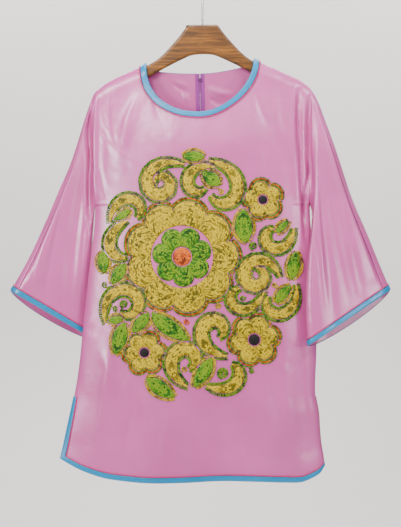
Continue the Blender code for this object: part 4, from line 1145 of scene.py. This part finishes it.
HOOK_RADIUS = 1.85
HOOK_INNER = 18.0
hook_round = HOOK_INNER + HOOK_RADIUS
hook_middle = Vector((0, 0, SEAT_RISE - HOOK_INNER))
hook = [hook_middle + Vector((math.cos(math.radians(a)), 0, math.sin(math.radians(a)))) * hook_round
        for a in range(200, -41, -5)]
heading = (hook[-1] - hook[-2]).normalized()
bend_end = Vector((0, 0, -22.0))
knots = (hook[-1], hook[-1] + heading * 9, bend_end + Vector((0, 0, 9)), bend_end)
for i in range(1, 17):
    t = i / 16
    weights = ((1 - t) ** 3, 3 * t * (1 - t) ** 2, 3 * t * t * (1 - t), t ** 3)
    hook.append(sum((knot * weight for knot, weight in zip(knots, weights)), Vector()))
hook.append(Vector((0, 0, -62.6)))
round_cord("hook", hook, HOOK_RADIUS, STEEL, rounding=5)

# The embroidery: thick machine chain stitch in glossy thread, padded below so that each
# motif stands up from the satin. Leaves, scrolls and blossoms fill a tall round field.
LIFT = 0.7
EDGE_THICK = 0.8
DOME = 1.5
BLOSSOM = (-38.0, -498.0)
SMALL_BLOSSOMS = (
    # x, height, outer radius, depth between the petals, petals, turn
    (96, -652, 44, 12, 6, 0.2),
    (112, -392, 34, 9, 5, 0.5),
    (-108, -676, 36, 10, 6, 0.1),
)
LEAVES = (
    # x, height, heading, length, turn rates at the start and the end, half width
    (83, -472, 115, 64, -0.78, 0.06, 16.8),
    (-105, -724, -25, 64, -0.68, 0.67, 14.0),
    (-94, -601, -58, 87, 0.77, -0.24, 15.5),
    (-144, -620, -120, 63, 0.76, -0.41, 14.0),
    (16, -684, -106, 65, -0.58, 0.01, 13.1),
    (-185, -488, -97, 41, 0.69, -0.06, 10.7),
    (136, -584, 56, 43, -0.42, 0.04, 10.1),
    (4, -313, 171, 41, 0.51, -0.07, 10.0),
    (166, -541, 88, 54, -0.57, 0.46, 12.3),
    (33, -366, 138, 42, 0.47, -0.19, 12.5),
    (-144, -510, -118, 46, -0.38, 0.20, 11.6),
    (-99, -602, -124, 48, -0.49, 0.24, 11.4),
    (136, -453, 34, 33, 0.85, -0.27, 6.5),
    (-134, -410, -138, 36, -0.69, 0.13, 7.3),
    (-147, -614, 180, 28, 0.89, -0.24, 8.2),
)
SCROLLS = (
    (46, -683, 172, 155, -0.29, -3.69, 12.6),
    (-27, -739, 157, 153, -0.54, -3.49, 12.8),
    (144, -536, 102, 184, 0.84, 3.71, 12.6),
    (-33, -327, 161, 209, 0.25, 4.06, 11.9),
    (12, -320, -9, 155, -0.32, -2.65, 11.2),
    (-180, -622, 111, 176, -0.64, -3.00, 10.6),
    (174, -550, -79, 123, -0.47, -3.10, 9.1),
    (170, -445, -91, 116, -0.75, -3.74, 9.8),
    (7, -737, -24, 103, 0.27, 3.19, 10.3),
    (-139, -431, -155, 108, 0.31, 2.93, 10.3),
    (24, -333, 161, 115, 0.57, 3.67, 9.3),
    (115, -562, -111, 120, -0.33, -3.69, 8.6),
    (-172, -435, 88, 114, -0.45, -3.44, 9.2),
)


def thread(name, light, mid, dark, sewn):
    """Rayon embroidery thread in chain stitch. On a motif each loop is a grain 4 mm by
    2.8 mm, a third coarser than sewn so that it shows, and the loops lie in rows; the tone
    shifts from loop to loop and from run to run. Painted shade darkens the hollows between the
    loops, and their middles are painted a little lighter."""
    made, tree, shader = new_material(name, mid)
    place = node(tree, "ShaderNodeTexCoord")
    runs = node(tree, "ShaderNodeTexNoise", [("Vector", place, "Object")], Scale=36.0, Detail=2.0)
    if sewn:
        rows = node(tree, "ShaderNodeUVMap", uv_map="sewn")
        size = node(tree, "ShaderNodeMapping", [("Vector", rows, "UV")], Scale=(1 / 0.004, 1 / 0.0028, 1.0))
        loops = node(tree, "ShaderNodeTexVoronoi", [("Vector", size, "Vector")], Scale=1.0, Randomness=0.55,
                     voronoi_dimensions="2D")
    else:
        loops = node(tree, "ShaderNodeTexVoronoi", [("Vector", place, "Object")], Scale=260.0)
    single = node(tree, "ShaderNodeSeparateColor", [("Color", loops, "Color")])
    mixed = node(tree, "ShaderNodeMath", [(0, single, "Red"), (1, runs, "Fac")], operation="ADD")
    spread = node(tree, "ShaderNodeMapRange", [("Value", mixed, "Value")], From_Min=0.35, From_Max=1.65)
    ramp = node(tree, "ShaderNodeValToRGB", [("Fac", spread, "Result")])
    ramp.color_ramp.elements[0].position, ramp.color_ramp.elements[0].color = 0.12, linear(dark)
    ramp.color_ramp.elements[1].position, ramp.color_ramp.elements[1].color = 0.6, linear(light)
    ramp.color_ramp.elements.new(0.36).color = linear(mid)
    # Painted shade and light: the colour is darkened in the hollows between loops and made a little lighter
    # at their middles.
    painted_loop_shade = node(tree, "ShaderNodeMapRange", [("Value", loops, "Distance")], From_Min=0.3, From_Max=0.75,
                  To_Min=1.1, To_Max=0.4 if sewn else 0.75)
    tone = node(tree, "ShaderNodeVectorMath", [(0, ramp, "Color"), (1, painted_loop_shade, "Result")],
                operation="MULTIPLY")
    tree.links.new(shader.inputs["Base Color"], tone.outputs["Vector"])
    bump = node(tree, "ShaderNodeBump", [("Height", loops, "Distance")], Strength=0.6, Distance=0.0008)
    bump.invert = True
    tree.links.new(shader.inputs["Normal"], bump.outputs["Normal"])
    shader.inputs["Roughness"].default_value = 0.52
    shader.inputs["Specular IOR Level"].default_value = 0.22
    return made


THREADS = {
    # slot: light, middle and dark tone
    "gold_thread": ("#c4a800", "#988000", "#4e4a00"),
    "green_thread": ("#6c8e00", "#2c6e04", "#123f02"),
    "rust_thread": ("#d06410", "#a83c08", "#5c2004"),
    "dark_thread": ("#1c1b1a", "#100f0f", "#060606"),
}
SEWN = {slot: thread(slot.replace("thread", "rows"), *tones, True) for slot, tones in THREADS.items()}
LOOSE = {slot: thread(slot.replace("thread", "line"), *tones, False) for slot, tones in THREADS.items()}


CELL = 4.0


@functools.lru_cache(maxsize=None)
def depth_at(i, j):
    return soft_depth("front", CELL * i, CELL * j)


def on_front(x, z, off):
    """Point at a distance off the front, from depths read at the corners of a cell."""
    i, j = math.floor(x / CELL), math.floor(z / CELL)
    u, v = x / CELL - i, z / CELL - j
    low = depth_at(i, j) + (depth_at(i + 1, j) - depth_at(i, j)) * u
    high = depth_at(i, j + 1) + (depth_at(i + 1, j + 1) - depth_at(i, j + 1)) * u
    slope_x = (depth_at(i + 1, j) - depth_at(i, j)) / CELL
    normal = Vector((-slope_x, -1.0, -(high - low) / CELL)).normalized()
    return Vector((x, -low - (high - low) * v, z)) + normal * off


SEWN_ROW = 2.8
RIB_HEIGHT = 0.75
RIB_SUNK = 0.4
EDGE_OFF = 0.1
BACKING = 0.5


def raised(name, long, wide, size, place, slot):
    """A stitched motif on a grid of columns along it and rows 0 to 2 across it. size is
    its length and width; place(column, row) gives x, z, the share of the full height and
    the distances along and across."""
    pitch = 0.75
    fine = (max(round(size[0] / long / (2 * pitch)), 1), max(round(size[1] / wide / pitch), 2))
    bm = grid_mesh(((0, long, 0, wide),), fine, lambda c, r: Vector((c, 0, r)))
    column, row = bm.verts.layers.float["column"], bm.verts.layers.float["row"]
    sewn = bm.loops.layers.uv.new("sewn")
    runs = {}
    for vert in bm.verts:
        x, z, dome, along, across = place(vert[column], vert[row])
        swell = dome ** 0.7 if dome > 0 else 0.0
        off = EDGE_OFF + (EDGE_THICK + LIFT) * min(swell * 3, 1.0) + DOME * swell
        rib = abs(math.sin(math.pi * across / SEWN_ROW)) ** 0.7 * (0.8 + 0.2 * math.sin(along * 1.6))
        off += (RIB_HEIGHT * rib - RIB_SUNK) * min(swell * 2, 1.0)
        runs[vert] = (along * MM, across * MM)
        vert.co = to_metres(on_front(x, z, off))
    for bm_face in bm.faces:
        for loop in bm_face.loops:
            loop[sewn].uv = runs[loop.vert]
    bmesh.ops.remove_doubles(bm, verts=bm.verts[:], dist=0.00003)
    bmesh.ops.recalc_face_normals(bm, faces=bm.faces[:])
    if max(bm.faces, key=lambda f: f.calc_area()).normal.y > 0:
        bmesh.ops.reverse_faces(bm, faces=bm.faces[:])
    made = add_piece(name + "_rows", bm, SEWN[slot], slot)
    thicken(made, BACKING, -1)
    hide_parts(name)


def blossom_ring(name, middle, inner, outer, lobes, lobe_depth, turn, slot):
    """A ring of petals in one piece, domed to its middle, with grooves between petals."""
    def place(column, row):
        angle = 2 * math.pi * column / (lobes * 6) + turn
        lobe = abs(math.cos(lobes * (angle - turn) / 2))
        edge = outer - lobe_depth * (1 - lobe ** 0.6)
        across = (edge - inner) * row / 2
        radius = inner + across
        dome = (1 - abs(row - 1) ** 3) * (0.12 + 0.88 * lobe ** 0.7)
        return (middle[0] + radius * math.cos(angle), middle[1] + radius * math.sin(angle), max(dome, 0.0),
                (inner + outer) / 2 * angle, edge - radius)

    raised(name, lobes * 6, 2, (math.pi * (inner + outer), outer - inner), place, slot)


def eye(name, middle, radius, slot):
    def place(column, row):
        angle = 2 * math.pi * column / 12
        out = radius * (row / 2 + 0.001)
        return (middle[0] + out * math.cos(angle), middle[1] + out * math.sin(angle), 1 - (row / 2) ** 3,
                radius * 0.6 * angle, radius - out)

    raised(name, 12, 2, (2 * math.pi * radius, radius), place, slot)


def spine_of(row, steps):
    """Points and headings along a leaf or scroll from a row of its table."""
    x, z, angle, length, turn_start, turn_end, half_width = row
    spine, step = [(x, z, angle)], length / steps
    for i in range(steps):
        angle += step * (turn_start + (turn_end - turn_start) * (i + 0.5) / steps)
        x += step * math.cos(math.radians(angle))
        z += step * math.sin(math.radians(angle))
        spine.append((x, z, angle))
    return spine


def along_spine(spine, place):
    """Point and heading between two places of a spine."""
    low = min(int(place), len(spine) - 2)
    return [a + (b - a) * (place - low) for a, b in zip(spine[low], spine[low + 1])]


def stroke_half(run, tip, half_width):
    grown = run / tip if run < tip else (1 - run) / (1 - tip)
    return half_width * max(math.sin(math.pi / 2 * grown) ** 0.7, 0.12)


def stroke(name, row, tip, steps, vein, slot):
    """A leaf or scroll: domed across, with a groove along its spine if it has a vein."""
    spine = spine_of(row, steps)

    def place(column, across):
        px, pz, at = along_spine(spine, column)
        wide = stroke_half(column / steps, tip, row[6])
        side = math.radians(at + 90)
        dome = 1 - abs(across - 1) ** 3 - vein * math.exp(-((across - 1) / 0.12) ** 2)
        ends = min(column, steps - column) / 0.5
        half = wide * (across - 1)
        return (px + half * math.cos(side), pz + half * math.sin(side), max(dome, 0.0) * min(ends, 1.0),
                row[3] * column / steps, wide - abs(half))

    raised(name, steps, 2, (row[3], 2 * row[6]), place, slot)


LEAF_TIP = 0.45
SCROLL_TIP = 0.6
eye("blossom_eye", BLOSSOM, 17, "rust_thread")
blossom_ring("blossom_inner", BLOSSOM, 18.5, 56, 7, 12, 0.3, "green_thread")
blossom_ring("blossom_outer", BLOSSOM, 57.5, 104, 9, 16, 0.0, "gold_thread")
for number, (x, z, outer, depth, lobes, turn) in enumerate(SMALL_BLOSSOMS):
    eye("small_eye_%d" % number, (x, z), outer * 0.24, "dark_thread")
    blossom_ring("small_petals_%d" % number, (x, z), outer * 0.24 + 1.5, outer, lobes, depth, turn,
                 "gold_thread")
for number, row in enumerate(LEAVES):
    stroke("leaf_%d" % number, row, LEAF_TIP, 6, 0.5, "green_thread")
for number, row in enumerate(SCROLLS):
    stroke("scroll_%d" % number, row, SCROLL_TIP, 14, 0.0, "gold_thread")


# Bands of chain stitches follow the outside of every motif, and coiled lines of them fill
# the wider gaps. Each stitch is a raised grain, and the satin shows between the bands.
STITCH = 2.9
STITCH_HALF = (2.1, 1.3, 1.6)
SEW_HEIGHT = 1.2
LINES = (
    # distance outside the motif's edge, threads round leaf, scroll, blossom
    (2.0, "gold_thread", "green_thread", "green_thread"),
    (4.8, "gold_thread", "green_thread", "rust_thread"),
    (7.6, None, None, "green_thread"),
)
COIL_PITCH = 3.1
COIL_RADII = (14.0, 11.0, 8.0, 5.5)
# Distances that a line of stitches keeps from motifs and other stitches, and a coil from both.
MOTIF_ROOM = 1.6
STITCH_ROOM = 2.6
COIL_ROOM = 2.2
occupied = {"motif": {}, "stitch": {}}


def is_free(x, z, kind, room):
    cx, cz, reach = int(x // CELL), int(z // CELL), int(room // CELL) + 1
    return all((x - a) ** 2 + (z - b) ** 2 > room * room
               for i in range(cx - reach, cx + reach + 1) for j in range(cz - reach, cz + reach + 1)
               for a, b in occupied[kind].get((i, j), ()))


def occupy(x, z, kind):
    occupied[kind].setdefault((int(x // CELL), int(z // CELL)), []).append((x, z))


# Each loop holds, for points round a motif: its spine, the way out and the distance to its edge.
loops = []
for kind, table, tip, steps in (("leaf", LEAVES, LEAF_TIP, 6), ("scroll", SCROLLS, SCROLL_TIP, 14)):
    for row in table:
        spine, parts = spine_of(row, steps), max(int(row[3] / 1.2), 8)
        sides = {-1: [], 1: []}
        for i in range(parts + 1):
            x, z, at = along_spine(spine, steps * i / parts)
            half = stroke_half(i / parts, tip, row[6])
            turn = math.radians(at + 90)
            for k in range(-5, 6):
                occupy(x + half * k / 5 * math.cos(turn), z + half * k / 5 * math.sin(turn), "motif")
            for side in sides:
                sides[side].append((x, z, turn + (0 if side > 0 else math.pi), half))
        loops.append((kind, sides[1] + sides[-1][::-1]))
rings = [(*BLOSSOM, 104, 16, 9, 0.0)]
for x, z, outer, lobe_depth, lobes, turn in rings + list(SMALL_BLOSSOMS):
    loop = []
    for i in range(int(outer * 4)):
        angle = 2 * math.pi * i / int(outer * 4)
        lobe = abs(math.cos(lobes * (angle - turn) / 2))
        edge = outer - lobe_depth * (1 - lobe ** 0.6)
        loop.append((x, z, angle, edge))
        if i % 2 == 0:
            for k in range(int(edge / 2.4)):
                reach = edge - 2.4 * k
                occupy(x + reach * math.cos(angle), z + reach * math.sin(angle), "motif")
    loops.append(("blossom", loop))

stitches = {slot: [bmesh.new()] for slot in ("gold_thread", "green_thread", "rust_thread")}
BATCH = 1200


def sew(x, z, heading, slot):
    occupy(x, z, "stitch")
    place = Matrix.Translation(to_metres(on_front(x, z, SEW_HEIGHT))) @ Matrix.Rotation(-heading, 4, "Y")
    size = Matrix.Diagonal((*(side * MM for side in STITCH_HALF), 1.0))
    batches = stitches[slot]
    if len(batches[-1].verts) > BATCH:
        batches.append(bmesh.new())
    bmesh.ops.create_icosphere(batches[-1], subdivisions=1, radius=1.0, matrix=place @ size)


def in_field(x, z, share):
    return math.hypot((x - FIELD[0]) / FIELD[2], (z - FIELD[1]) / FIELD[3]) < share


for out, *slots in LINES:
    for kind, loop in loops:
        slot = slots[("leaf", "scroll", "blossom").index(kind)]
        if slot is None:
            continue
        line = [(x + (half + out) * math.cos(turn), z + (half + out) * math.sin(turn))
                for x, z, turn, half in loop]
        walked, last = 0.0, line[-1]
        for x, z in line:
            walked += math.hypot(x - last[0], z - last[1])
            heading = math.atan2(z - last[1], x - last[0])
            last = (x, z)
            if (walked > STITCH and in_field(x, z, 1.04) and is_free(x, z, "motif", MOTIF_ROOM)
                    and is_free(x, z, "stitch", STITCH_ROOM)):
                walked = 0.0
                sew(x, z, heading, slot)
for radius in COIL_RADII:
    for i in range(-50, 51):
        for j in range(-62, 63):
            x, z = FIELD[0] + CELL * i, FIELD[1] + CELL * j
            if not (in_field(x, z, 0.88) and is_free(x, z, "motif", radius + COIL_ROOM)
                    and is_free(x, z, "stitch", radius + COIL_ROOM)):
                continue
            tone = noise.noise(Vector((x * 0.03, z * 0.03, 4.0)))
            slot = "green_thread" if tone > 0.1 or not in_field(x, z, 0.75) else "gold_thread"
            slot = "rust_thread" if tone < -0.15 and in_field(x, z, 0.75) else slot
            turn, out = tone * 20, 1.2
            while out < radius:
                sew(x + out * math.cos(turn), z + out * math.sin(turn), turn + math.pi / 2, slot)
                turn += STITCH / out
                out += COIL_PITCH * STITCH / out / (2 * math.pi)
for slot, batches in stitches.items():
    bm = bmesh.new()
    for batch in batches:
        part = bpy.data.meshes.new("batch")
        batch.to_mesh(part)
        batch.free()
        bm.from_mesh(part)
        bpy.data.meshes.remove(part)
    for bm_face in bm.faces:
        bm_face.smooth = True
    add_piece(slot.replace("thread", "lines"), bm, LOOSE[slot], slot)
